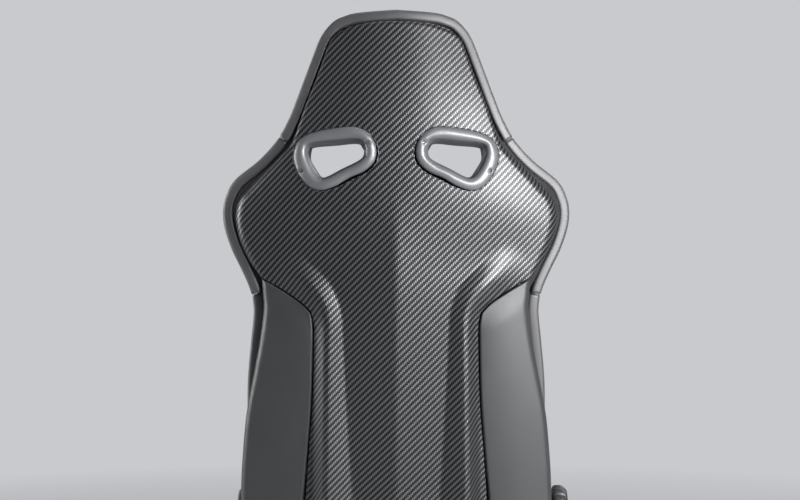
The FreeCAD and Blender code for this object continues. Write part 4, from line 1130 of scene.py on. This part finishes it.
def outline_between(low, high, count, sign=1):
    """Part of the padded edge's outline between two heights; on the -X side it runs down."""
    dense = spline(RIM_OUTER, 1400)
    keep = dense[(dense[:, 1] >= low) & (dense[:, 1] <= high)]
    run = travelled(keep)
    # crowd the places at both ends, where the seams are
    swing = np.cos(np.linspace(0, 1, count) * math.pi)
    share = 0.5 - 0.5 * swing * (0.25 + 0.75 * np.abs(swing))
    points = along_path(keep, run, share * run[-1])
    return points if sign > 0 else points[::-1] * (-1.0, 1.0)


def outline_over_top(low, count):
    """The padded edge's outline from a height over the top to the same height."""
    up = outline_between(low, 2.0, count)
    return np.vstack([up, up[::-1][1:] * (-1.0, 1.0)])


def build_rim():
    width = shape_settings().rim_width
    rim_piece("head", outline_over_top(HEAD_SEAM, 150), width, inset=0.006, depth=0.040)
    for side, sign in SIDES:
        rim_piece("shoulder_" + side, outline_between(WAIST_SEAM, HEAD_SEAM, 120, sign),
                  width, inset=0.011, depth=0.037)
        rim_piece("waist_" + side, outline_between(RIM_FOOT, WAIST_SEAM, 80, sign),
                  width * 1.05, inset=0.026, depth=0.030)


def build_lining():
    """Lining behind the gap between the shell and the padded edge, near-black as painted shade in
    the gap.
    """
    outline = outline_over_top(RIM_FOOT, 190)
    piece, column, row = new_grid("edge_lining", len(LINING_SECTION) - 1, len(outline) - 1)
    inset, depth = np.array(LINING_SECTION)[column].T
    points, inward = outline[row], inward_of(outline)[row]
    x, z = (points + inward * inset[:, None]).T
    low = 1.0 - smooth_step(0.550, 0.600, points[:, 1])
    rear = base_y(points[:, 0] + inward[:, 0] * 0.02, points[:, 1])
    y = rear - depth - 0.018 * low * (inset < 0.03)
    set_vertices(piece, rows_of(x, y, z))
    thicken(piece, 0.0015)
    smooth(piece, 60)
    finish_piece(piece, "gap", "backrest", "plastic")


# -------------------------------------------------------------------- side panels


def build_side_panels():
    """Covered panels beside the carbon: crowned sheets with rolled edges."""
    across, along = 64, 150
    inner = spline(PANEL_INNER, along + 1)
    outer = spline(PANEL_OUTER, along + 1)
    top = spline(PANEL_TOP, across + 1)
    bottom = np.linspace(inner[0], outer[0], across + 1)
    for side, sign in SIDES:
        piece, column, row = new_grid("side_panel_cover_" + side, across, along)
        u = 0.5 - 0.5 * np.cos(column[:, None] / across * math.pi)
        v = crowd(row[:, None] / along, 1.3)
        inner_at, outer_at = (along_path(edge, np.arange(along + 1), v[:, 0] * along)
                              for edge in (inner, outer))
        bottom_at, top_at = (along_path(edge, np.arange(across + 1), u[:, 0] * across)
                             for edge in (bottom, top))
        corners = ((1 - u) * (1 - v) * inner[0] + u * (1 - v) * outer[0]
                   + (1 - u) * v * inner[-1] + u * v * outer[-1])
        x, z = (inner_at * (1 - u) + outer_at * u + (bottom_at * (1 - v) + top_at * v)
                - corners).T
        u, v = u[:, 0], v[:, 0]
        width = outer_at[:, 0] - inner_at[:, 0]
        top_gap = (1 - v) * 0.36
        crown = 0.0045 * np.sin(np.clip(u, 0, 1) * math.pi)**0.8
        y = base_y(x, z) - 0.0010 + crown * smooth_step(0.0, 0.05, top_gap)
        for gap, radius in ((u * width, 0.0045), ((1 - u) * width, 0.010), (top_gap, 0.0045)):
            y = y - roll(gap, radius, 0.985)
        set_vertices(piece, rows_of(sign * x, y, z))
        set_uv(piece, rows_of(x, z))
        thicken(piece, 0.003)
        smooth(piece, 40)
        finish_piece(piece, "panel", "backrest", "suede", "side_panel_" + side)


def build_side_linings():
    """Cover that wraps from each side panel's outer edge round to the side bolster."""
    across, along = 24, 70
    low, high = 0.2120, 0.5900
    outer = spline(PANEL_OUTER, 200)
    for side, sign in SIDES:
        piece, column, row = new_grid("side_wrap_" + side, across, along)
        t = column / across
        v = row / along
        z = low + (high - low) * v + 0.050 * t * (1.0 - v)
        edge = np.interp(z, outer[:, 1], outer[:, 0]) - 0.0050
        x = edge + (0.2225 - edge) * smooth_step(-0.35, 1.0, t)
        y = base_y(x, z) - 0.0110 - 0.074 * t
        set_vertices(piece, rows_of(sign * x, y, z))
        set_uv(piece, rows_of(y, z))
        thicken(piece, 0.002, axis=0, sign=sign)
        smooth(piece, 40)
        finish_piece(piece, "panel", "backrest", "suede")


def build_back_lining():
    """Cloth stretched between the side plates, behind the foam, near-black as painted shade in the
    slots between the pads.
    """
    across, along = 30, 60
    half = 0.2045
    piece, column, row = new_grid("back_lining", across, along)
    x = 2 * half * column / across - half
    z = 0.168 + 0.567 * row / along
    y = 0.2640 + 0.207 * (z - 0.315) + 0.004 * (1.0 - (x / half)**2)
    set_vertices(piece, rows_of(x, y, z))
    thicken(piece, 0.0012)
    smooth(piece, 60)
    finish_piece(piece, "gap", "backrest", "suede")


# --------------------------------------------------------------------------- pads


def inflate(piece, reach):
    """Blow a pad up with cloth pressure, and hold every point within a reach of its start."""
    start = vertices(piece)
    pick(piece)
    cloth = piece.modifiers.new("Cover", "CLOTH")
    cloth.settings.use_pressure = True
    cloth.settings.uniform_pressure_force = 4.0
    cloth.settings.effector_weights.gravity = 0.0
    cloth.settings.quality = 4
    for number in range(1, 21):
        bpy.context.scene.frame_set(number)
    bpy.ops.object.modifier_apply(modifier=cloth.name)
    bpy.context.scene.frame_set(1)
    moved = vertices(piece) - start
    length = np.linalg.norm(moved, axis=1, keepdims=True)
    set_vertices(piece, start + moved * np.minimum(1.0, reach / np.maximum(length, 1e-9)))


def soft_cover(node, name, shrink, reach, voxel=0.005, soften=22):
    """Upholstered pad from a frame node: shrunk, remeshed, rounded, blown up and subdivided.

    No point swells by more than the reach.
    """
    piece = node_copy(node, name)
    edit(piece, lambda: bpy.ops.transform.shrink_fatten(value=-shrink))
    modify(piece, "REMESH", mode="VOXEL", voxel_size=voxel)
    modify(piece, "SMOOTH", factor=0.5, iterations=soften)
    inflate(piece, reach)
    modify(piece, "SUBSURF", levels=1, render_levels=1)
    smooth(piece)
    return piece


def stretch(piece, axis, start, end, amount):
    """Draw out a pad from a start to its end along an axis, so that it meets its neighbour."""
    places = vertices(piece)
    share = (places[:, axis] - start) / (end - start)
    places[:, axis] += amount * smooth_step(0.0, 1.0, share)
    set_vertices(piece, places)


def sew_channel(piece, distance, facing, depth=0.0055, width=0.0065):
    """Press a rounded groove into a pad where a signed distance passes zero."""
    normals = vertices(piece, "normal")
    places = vertices(piece)
    toward = smooth_step(0.25, 0.75, normals @ np.array(facing))
    press = depth * np.exp(-(distance(places) / width)**2) * toward
    set_vertices(piece, places - normals * press[:, None])


def finish_pad(piece, finish, body, node):
    finish_piece(piece, finish, body, finish, node)


def cover_pair(node, reach, body):
    """Leather covers of a pair of bolsters; the right one mirrors the left one."""
    left = soft_cover(node + "_left", node + "_cover_left", 0.003, reach, soften=30)
    right = mirror_piece(left, node + "_cover_right")
    finish_pad(left, "leather", body, node + "_left")
    finish_pad(right, "leather", body, node + "_right")
    return [left, right]


def cast(targets, direction, x, y, z):
    """Where rays first meet any of the pieces: the places, and the normals there."""
    trees = []
    for piece in targets:
        faces = [tuple(face.vertices) for face in piece.data.polygons]
        trees.append(BVHTree.FromPolygons([v.co for v in piece.data.vertices], faces))
    places, normals = [], []
    for start in rows_of(x, y, z):
        hits = [tree.ray_cast(Vector(start), Vector(direction)) for tree in trees]
        hits = [hit for hit in hits if hit[0] is not None]
        if hits:
            place, normal, index, away = min(hits, key=lambda hit: hit[3])
            places.append(tuple(place))
            normals.append(tuple(normal))
    return np.array(places), np.array(normals)


def stitch(name, body, lines, pitch=0.0052, length=0.0036, radius=0.00045):
    """Rows of separate stitches along lines of surface places and normals."""
    deselect()
    bpy.ops.mesh.primitive_uv_sphere_add(segments=6, ring_count=4, radius=1.0)
    model = bpy.context.object
    shape = vertices(model) * (length / 2, radius, radius)
    polygons = [tuple(face.vertices) for face in model.data.polygons]
    bpy.data.objects.remove(model, do_unlink=True)
    places = []
    faces = []
    for points, normals in lines:
        run = travelled(points)
        for at in np.arange(pitch, run[-1] - pitch, pitch):
            middle = along_path(points, run, at)
            along = along_path(points, run, at + length / 2) - middle
            along /= np.linalg.norm(along)
            up = along_path(normals, run, at)
            up = up - along * (up @ along)
            up /= np.linalg.norm(up)
            first = len(places) * len(shape)
            turn = np.stack([along, np.cross(up, along), up])
            places.append(middle + up * radius * 0.35 + shape @ turn)
            faces.extend(tuple(first + k for k in face) for face in polygons)
    piece = from_faces(name, np.vstack(places).tolist(), faces)
    smooth(piece)
    finish_piece(piece, "thread", body, "leather")


def piping(name, body, targets, direction, sign, x, y, z, radius=0.0024):
    """Round piping beside the places that rays meet, sunk a little into the seam."""
    points = cast(targets, direction, x, y, z)[0]
    normals = np.broadcast_to(-np.array(direction, dtype=float), points.shape)
    points = points + (sign * 0.0062, 0.0, 0.0) - normals * 0.0004
    spread = 4
    wide = np.pad(points, ((spread, spread), (0, 0)), mode="edge")
    kernel = np.ones(2 * spread + 1) / (2 * spread + 1)
    points = np.stack([np.convolve(column, kernel, mode="valid") for column in wide.T], axis=1)
    tangent = unit(np.gradient(points, axis=0))
    up = unit(normals - tangent * np.sum(normals * tangent, axis=1, keepdims=True))
    piece = sweep(name, points, np.cross(tangent, up), up, ellipse(12, radius, radius), tuck=0.7)
    smooth(piece)
    finish_piece(piece, "leather", body, "leather")


def build_back_pads():
    centre = soft_cover("back_centre_pad", "back_centre_cover", shrink=0.003, reach=0.007)
    stretch(centre, 0, 0.080, 0.125, 0.005)
    stretch(centre, 0, -0.080, -0.125, -0.005)
    stretch(centre, 2, 0.375, 0.335, -0.008)
    for height in CHANNELS_BACK:
        sew_channel(centre, lambda v: v[:, 2] - height, TO_FRONT)
    finish_pad(centre, "suede", "backrest", "back_centre_pad")
    lumbar = soft_cover("lumbar_pad", "lumbar_cover", shrink=0.0, reach=0.006)
    stretch(lumbar, 2, 0.285, 0.330, 0.010)
    finish_pad(lumbar, "suede", "backrest", "lumbar_pad")
    head = soft_cover("head_pad", "head_cover", shrink=0.003, reach=0.007, soften=26)
    for side, sign in SIDES:
        sew_channel(head, lambda v: v[:, 0] - sign * head_seam(v[:, 2]), TO_FRONT,
                    depth=0.004, width=0.0055)
    finish_pad(head, "leather", "backrest", "head_pad")
    chest = soft_cover("shoulder_pad", "shoulder_cover", shrink=0.004, reach=0.004, voxel=0.004,
                       soften=18)
    finish_pad(chest, "leather", "backrest", "shoulder_pad")
    bolsters = (cover_pair("shoulder_bolster", 0.007, "backrest")
                + cover_pair("side_bolster", 0.009, "backrest"))
    add_back_seams(centre, lumbar, head, bolsters)


def head_seam(z):
    """Distance of the head pad's two seams from its middle."""
    return 0.058 + 0.16 * (0.93 - z)


def add_back_seams(centre, lumbar, head, bolsters):
    """Stitching in the channels and piping between the centre and the bolsters."""
    front = -0.25
    lines = [cast([centre], TO_REAR, np.linspace(-0.112, 0.112, 60), front, height)
             for height in CHANNELS_BACK]
    z = np.linspace(0.862, 1.018, 50)
    for side, sign in SIDES:
        for away in (-0.0035, 0.0035):
            lines.append(cast([head], TO_REAR, sign * head_seam(z) + away, front, z))
    for side, sign in SIDES:
        targets = [piece for piece in bolsters if piece.name.endswith(side)]
        lines.append(cast(targets, TO_REAR, sign * 0.140, front, np.linspace(0.300, 0.700, 130)))
    stitch("back_stitching", "backrest", lines)
    for side, sign in SIDES:
        piping("back_piping_" + side, "backrest", [centre, lumbar], TO_REAR, sign,
               sign * 0.1185, front, np.linspace(0.240, 0.735, 150))


def build_cushion():
    centre = soft_cover("cushion_centre", "cushion_centre_cover", shrink=0.003, reach=0.008)
    for place in CHANNELS_CUSHION:
        sew_channel(centre, lambda v: v[:, 1] - place, UP)
    finish_pad(centre, "suede", "seat_base", "cushion_centre")
    nose = soft_cover("cushion_nose", "cushion_nose_cover", shrink=0.003, reach=0.007, soften=30)
    finish_pad(nose, "leather", "seat_base", "cushion_nose")
    bolsters = cover_pair("thigh_bolster", 0.008, "seat_base")
    top = 0.45
    lines = [cast([centre], DOWN, np.linspace(-0.135, 0.135, 64), place, top)
             for place in CHANNELS_CUSHION]
    lines.append(cast([nose], DOWN, np.linspace(-0.130, 0.130, 64), -0.236, top))
    for bolster, (side, sign) in zip(bolsters, SIDES):
        lines.append(cast([bolster], DOWN, sign * 0.171, np.linspace(-0.250, 0.120, 90), top))
    stitch("cushion_stitching", "seat_base", lines)
    for side, sign in SIDES:
        piping("cushion_piping_" + side, "seat_base", [centre], DOWN, sign,
               sign * 0.1440, np.linspace(-0.190, 0.140, 110), top)


# ----------------------------------------------------------------------- hardware


def turned(name, section, count, waves=0, dip=0.0):
    """Round part on the recline axis, turned from a section, with finger hollows."""
    piece, column, row = new_grid(name, len(section) - 1, count)
    x, radius, share = np.array(section)[column].T
    theta = 2 * math.pi * (row % count) / count
    hollow = np.maximum(0.0, np.cos(theta * waves))**1.5 if waves else 0.0
    radius = radius - dip * share * hollow
    set_vertices(piece, rows_of(x, PIVOT.y + radius * np.cos(theta),
                                PIVOT.z + radius * np.sin(theta)))
    weld(piece)
    smooth(piece, 35)
    return piece


def build_wheel_and_caps():
    """Handwheel with finger hollows and a dished face, its push-in cap, and the recliner's cap."""
    waves = shape_settings().wheel_ribs
    wheel = turned("recline_handwheel", WHEEL_SECTION, waves * 18, waves, dip=0.0030)
    finish_piece(wheel, "plastic", "recline_drive", "plastic", "handwheel")
    cap = turned("handwheel_cap", WHEEL_CAP_SECTION, 96)
    finish_piece(cap, "bezel", "recline_drive", "bezel", "wheel_cap")
    dome = turned("recliner_cover_cap", RECLINER_CAP_SECTION, 128)
    finish_piece(dome, "plastic", "seat_base", "plastic", "recliner_cap")


def rounded_corners(points, radius, steps=7):
    """Closed outline with each corner turned by a smooth curve."""
    result = []
    for i, corner in enumerate(np.array(points)):
        before = np.array(points[i - 1]) - corner
        after = np.array(points[(i + 1) % len(points)]) - corner
        reach = min(radius, np.linalg.norm(before) * 0.45, np.linalg.norm(after) * 0.45)
        a = corner + before / np.linalg.norm(before) * reach
        b = corner + after / np.linalg.norm(after) * reach
        for k in range(steps + 1):
            t = k / steps
            result.append((1 - t)**2 * a + 2 * t * (1 - t) * corner + t**2 * b)
    return np.array(result)


def raise_face():
    """Draw the picked face out to a shield's depth, then step it in to its edge and groove."""
    bpy.ops.mesh.extrude_region_move(TRANSFORM_OT_translate={"value": (0.0250, 0, 0)})
    for width, rise in SHIELD_STEPS:
        bpy.ops.mesh.inset(thickness=width, depth=0.0)
        bpy.ops.transform.translate(value=(rise, 0, 0))


def build_shields():
    """Moulded side shields: rolled edge, inset groove, hollow inside and bored for the shaft."""
    outline = rounded_corners(SHIELD, 0.026)
    count = len(outline)
    inside = 0.2322
    piece = from_faces("side_shield_cover_left", [(inside, y, z) for y, z in outline],
                       [tuple(range(count))])
    edit(piece, raise_face, only=lambda face: True)
    edit(piece, lambda: bpy.ops.mesh.delete(type="ONLY_FACE"),
         only=lambda face: face.center.x < inside + 0.0002 and len(face.vertices) == count)
    thicken(piece, 0.0028, axis=0)
    cut(piece, cylinder(48, 0.0078, 0.2, (0.250, PIVOT.y, PIVOT.z), (0, 90, 0)))
    smooth(piece, 28)
    other = mirror_piece(piece, "side_shield_cover_right")
    finish_piece(piece, "plastic", "seat_base", "plastic", "side_shield_left")
    finish_piece(other, "plastic", "seat_base", "plastic", "side_shield_right")


def build_shield_screws():
    """Socket-head screws that hold the side shields."""
    screws = []
    for side, sign in SIDES:
        for y, z in ((-0.205, 0.128), (0.100, 0.108)):
            screws.append(socket_screw((sign * 0.2660, y, z), (0, 90, 0), (sign, 0, 0),
                                       sides=32, radius=0.0052, height=0.0030,
                                       wall=0.0024, sink=0.0015, edge=0.0005))
    joined = join(screws, "shield_screws")
    smooth(joined, 40)
    finish_piece(joined, "steel", "seat_base", "steel")


def build_grip():
    """Ribbed soft sleeve on the front of the slide bar."""
    half, ribs = 0.070, 22
    x = np.linspace(-half, half, ribs * 10 + 1)
    near = np.minimum(x + half, half - x)
    radius = 0.0126 - 0.0009 * np.abs(np.cos((x + half) / (2 * half) * ribs * math.pi))**4
    radius = radius - 0.0016 * (1.0 - smooth_step(0.0, 0.0030, near))
    path = rows_of(x, -0.288, 0.088)
    piece = sweep("slide_bar_sleeve", path, TO_REAR, UP,
                  ellipse(40, 1.0, 1.0) * radius[:, None, None])
    smooth(piece, 60)
    finish_piece(piece, "plastic", "slide_latch", "plastic")


# -------------------------------------------------------------------------- stage


def build_floor(tone):
    deselect()
    bpy.ops.mesh.primitive_plane_add(size=60.0, location=(0, 0, 0))
    floor = bpy.context.object
    floor.name = "floor"
    floor.data.materials.append(floor_material(tone))


def build_world(tone):
    """Faint cool light all round; the camera sees the backdrop's tone, and gloss a little of it."""
    world = bpy.data.worlds.new("Soft studio")
    world.use_nodes = True
    nodes = Nodes(world.node_tree)
    background = nodes.tree.nodes["Background"]
    nodes.fill(background.inputs, Color=(0.90, 0.94, 1.0), Strength=0.15)
    seen = nodes.add("ShaderNodeBackground", {"Color": tone, "Strength": 1.0})
    path = nodes.add("ShaderNodeLightPath").outputs
    share = nodes.math("MAXIMUM", path["Is Camera Ray"], path["Is Transmission Ray"])
    share = nodes.math("MAXIMUM", share, nodes.times(path["Is Glossy Ray"], 0.22))
    nodes.blend(nodes.tree.nodes["World Output"], share, background.outputs[0], seen.outputs[0])
    bpy.context.scene.world = world


# Lamps: name, place, width and height of the softbox, watts, spread of the beam in degrees.
LAMPS = (
    ("key", (-2.05, 2.30, 0.78), (1.2, 1.7), 38.0, 75),
    ("key_soft", (-1.15, 2.75, 1.05), (0.6, 1.9), 15.0, 100),
    ("fill", (2.6, 2.4, 1.3), (1.4, 1.8), 1.0, 180),
    ("edge", (2.9, -0.15, 0.85), (0.4, 1.6), 16.0, 90),
    ("front_key", (-1.9, -2.5, 2.2), (1.8, 1.4), 30.0, 180),
    ("front_fill", (2.4, -2.4, 1.6), (1.6, 1.6), 18.0, 180),
    ("top", (0.0, 0.1, 3.2), (1.6, 1.2), 14.0, 180),
)


def place_lamps():
    """Soft lamps all round, turned to the middle of the back."""
    aim = Vector((0.0, 0.1, 0.62))
    for name, place, size, power, spread in LAMPS:
        bpy.ops.object.light_add(type="AREA", location=place)
        lamp = bpy.context.object
        lamp.name = name
        lamp.data.shape = "RECTANGLE"
        lamp.data.size, lamp.data.size_y = size
        lamp.data.energy = power
        lamp.data.spread = math.radians(spread)
        lamp.rotation_euler = (aim - Vector(place)).to_track_quat("-Z", "Y").to_euler()


def place_camera():
    """Camera straight behind the seat."""
    bpy.ops.object.camera_add(location=(-0.0066, 3.6, 0.649),
                              rotation=(math.radians(90), 0, math.pi))
    camera = bpy.context.object
    camera.name = "main_camera"
    camera.data.sensor_width = 36.0
    camera.data.lens = 87.27
    bpy.context.scene.camera = camera


# ---------------------------------------------------------------------- operators


class SEAT_OT_shell(bpy.types.Operator):
    """Model the carbon back shell with its ridges and belt openings"""

    bl_idname = "seat.shell"
    bl_label = "Back shell"

    def execute(self, context):
        build_shell()
        build_clips()
        build_hole_lips()
        return {"FINISHED"}


class SEAT_OT_bezels(bpy.types.Operator):
    """Model the belt bezels and their screws"""

    bl_idname = "seat.bezels"
    bl_label = "Belt bezels"

    def execute(self, context):
        build_bezels()
        build_front_bezels()
        build_screws()
        return {"FINISHED"}


class SEAT_OT_rim(bpy.types.Operator):
    """Model the padded edge round the shell"""

    bl_idname = "seat.rim"
    bl_label = "Padded edge"

    def execute(self, context):
        build_rim()
        build_lining()
        return {"FINISHED"}


class SEAT_OT_side_panels(bpy.types.Operator):
    """Model the covered panels at the sides of the back"""

    bl_idname = "seat.side_panels"
    bl_label = "Side panels"

    def execute(self, context):
        build_side_panels()
        build_side_linings()
        build_back_lining()
        return {"FINISHED"}


class SEAT_OT_hardware(bpy.types.Operator):
    """Model the handwheel, the caps, the side shields and the bar's sleeve"""

    bl_idname = "seat.hardware"
    bl_label = "Hardware"

    def execute(self, context):
        build_wheel_and_caps()
        build_shields()
        build_shield_screws()
        build_grip()
        return {"FINISHED"}


class SEAT_OT_back_pads(bpy.types.Operator):
    """Upholster the pads on the front of the back"""

    bl_idname = "seat.back_pads"
    bl_label = "Back pads"

    def execute(self, context):
        build_back_pads()
        return {"FINISHED"}


class SEAT_OT_cushion(bpy.types.Operator):
    """Upholster the seat cushion and its bolsters"""

    bl_idname = "seat.cushion"
    bl_label = "Cushion"

    def execute(self, context):
        build_cushion()
        return {"FINISHED"}


FRAME_FINISH = {
    "zinc": ("lower_rail", "upper_rail", "recliner_gear"),
    "steel": ("rail_bolts", "rail_stops", "latch_pins", "latch_springs", "sync_shaft"),
    "plastic": ("side_shield", "handwheel", "wheel_cap", "recliner_cap", "shell_clips",
                "panel_clips", "rail_glides"),
    "bezel": ("front_bezel",),
    "suede": ("back_centre_pad", "lumbar_pad", "cushion_centre"),
    "leather": ("head_pad", "shoulder_pad", "shoulder_bolster", "side_bolster", "thigh_bolster",
                "cushion_nose"),
}


class SEAT_OT_frame_finish(bpy.types.Operator):
    """Give every frame part that stays visible its finish"""

    bl_idname = "seat.frame_finish"
    bl_label = "Frame finishes"

    def execute(self, context):
        for name, item in frame["nodes"].items():
            chosen = [finish for finish, starts in FRAME_FINISH.items() if name.startswith(starts)]
            paint(item, chosen[0] if chosen else "black_steel")
        return {"FINISHED"}


class SEAT_OT_stage(bpy.types.Operator):
    """Set the camera, the floor, the backdrop and the lights"""

    bl_idname = "seat.stage"
    bl_label = "Stage"

    def execute(self, context):
        tone = tuple(context.scene.seat_finish.backdrop)
        build_floor(tone)
        build_world(tone)
        place_lamps()
        place_camera()
        context.scene.view_settings.view_transform = "Standard"
        return {"FINISHED"}


class SEAT_PT_panel(bpy.types.Panel):
    """Lists the seat's modelling steps as buttons"""

    bl_idname = "SEAT_PT_panel"
    bl_label = "Sport seat"
    bl_space_type = "VIEW_3D"
    bl_region_type = "UI"
    bl_category = "Seat"

    def draw(self, context):
        for operator in OPERATORS:
            self.layout.operator(operator.bl_idname)


OPERATORS = (SEAT_OT_stage, SEAT_OT_frame_finish, SEAT_OT_shell, SEAT_OT_bezels, SEAT_OT_rim,
             SEAT_OT_side_panels, SEAT_OT_hardware, SEAT_OT_back_pads, SEAT_OT_cushion)
CLASSES = (SeatShape, SeatFinish, *OPERATORS, SEAT_PT_panel)


def register():
    for item in CLASSES:
        bpy.utils.register_class(item)
    bpy.types.Scene.seat_shape = PointerProperty(type=SeatShape)
    bpy.types.Scene.seat_finish = PointerProperty(type=SeatFinish)


def unregister():
    del bpy.types.Scene.seat_finish
    del bpy.types.Scene.seat_shape
    for item in reversed(CLASSES):
        bpy.utils.unregister_class(item)


def run_operator(operator):
    group, name = operator.bl_idname.split(".")
    getattr(getattr(bpy.ops, group), name)()


def main():
    register()
    for operator in OPERATORS:
        run_operator(operator)


if __name__ == "__main__":
    main()
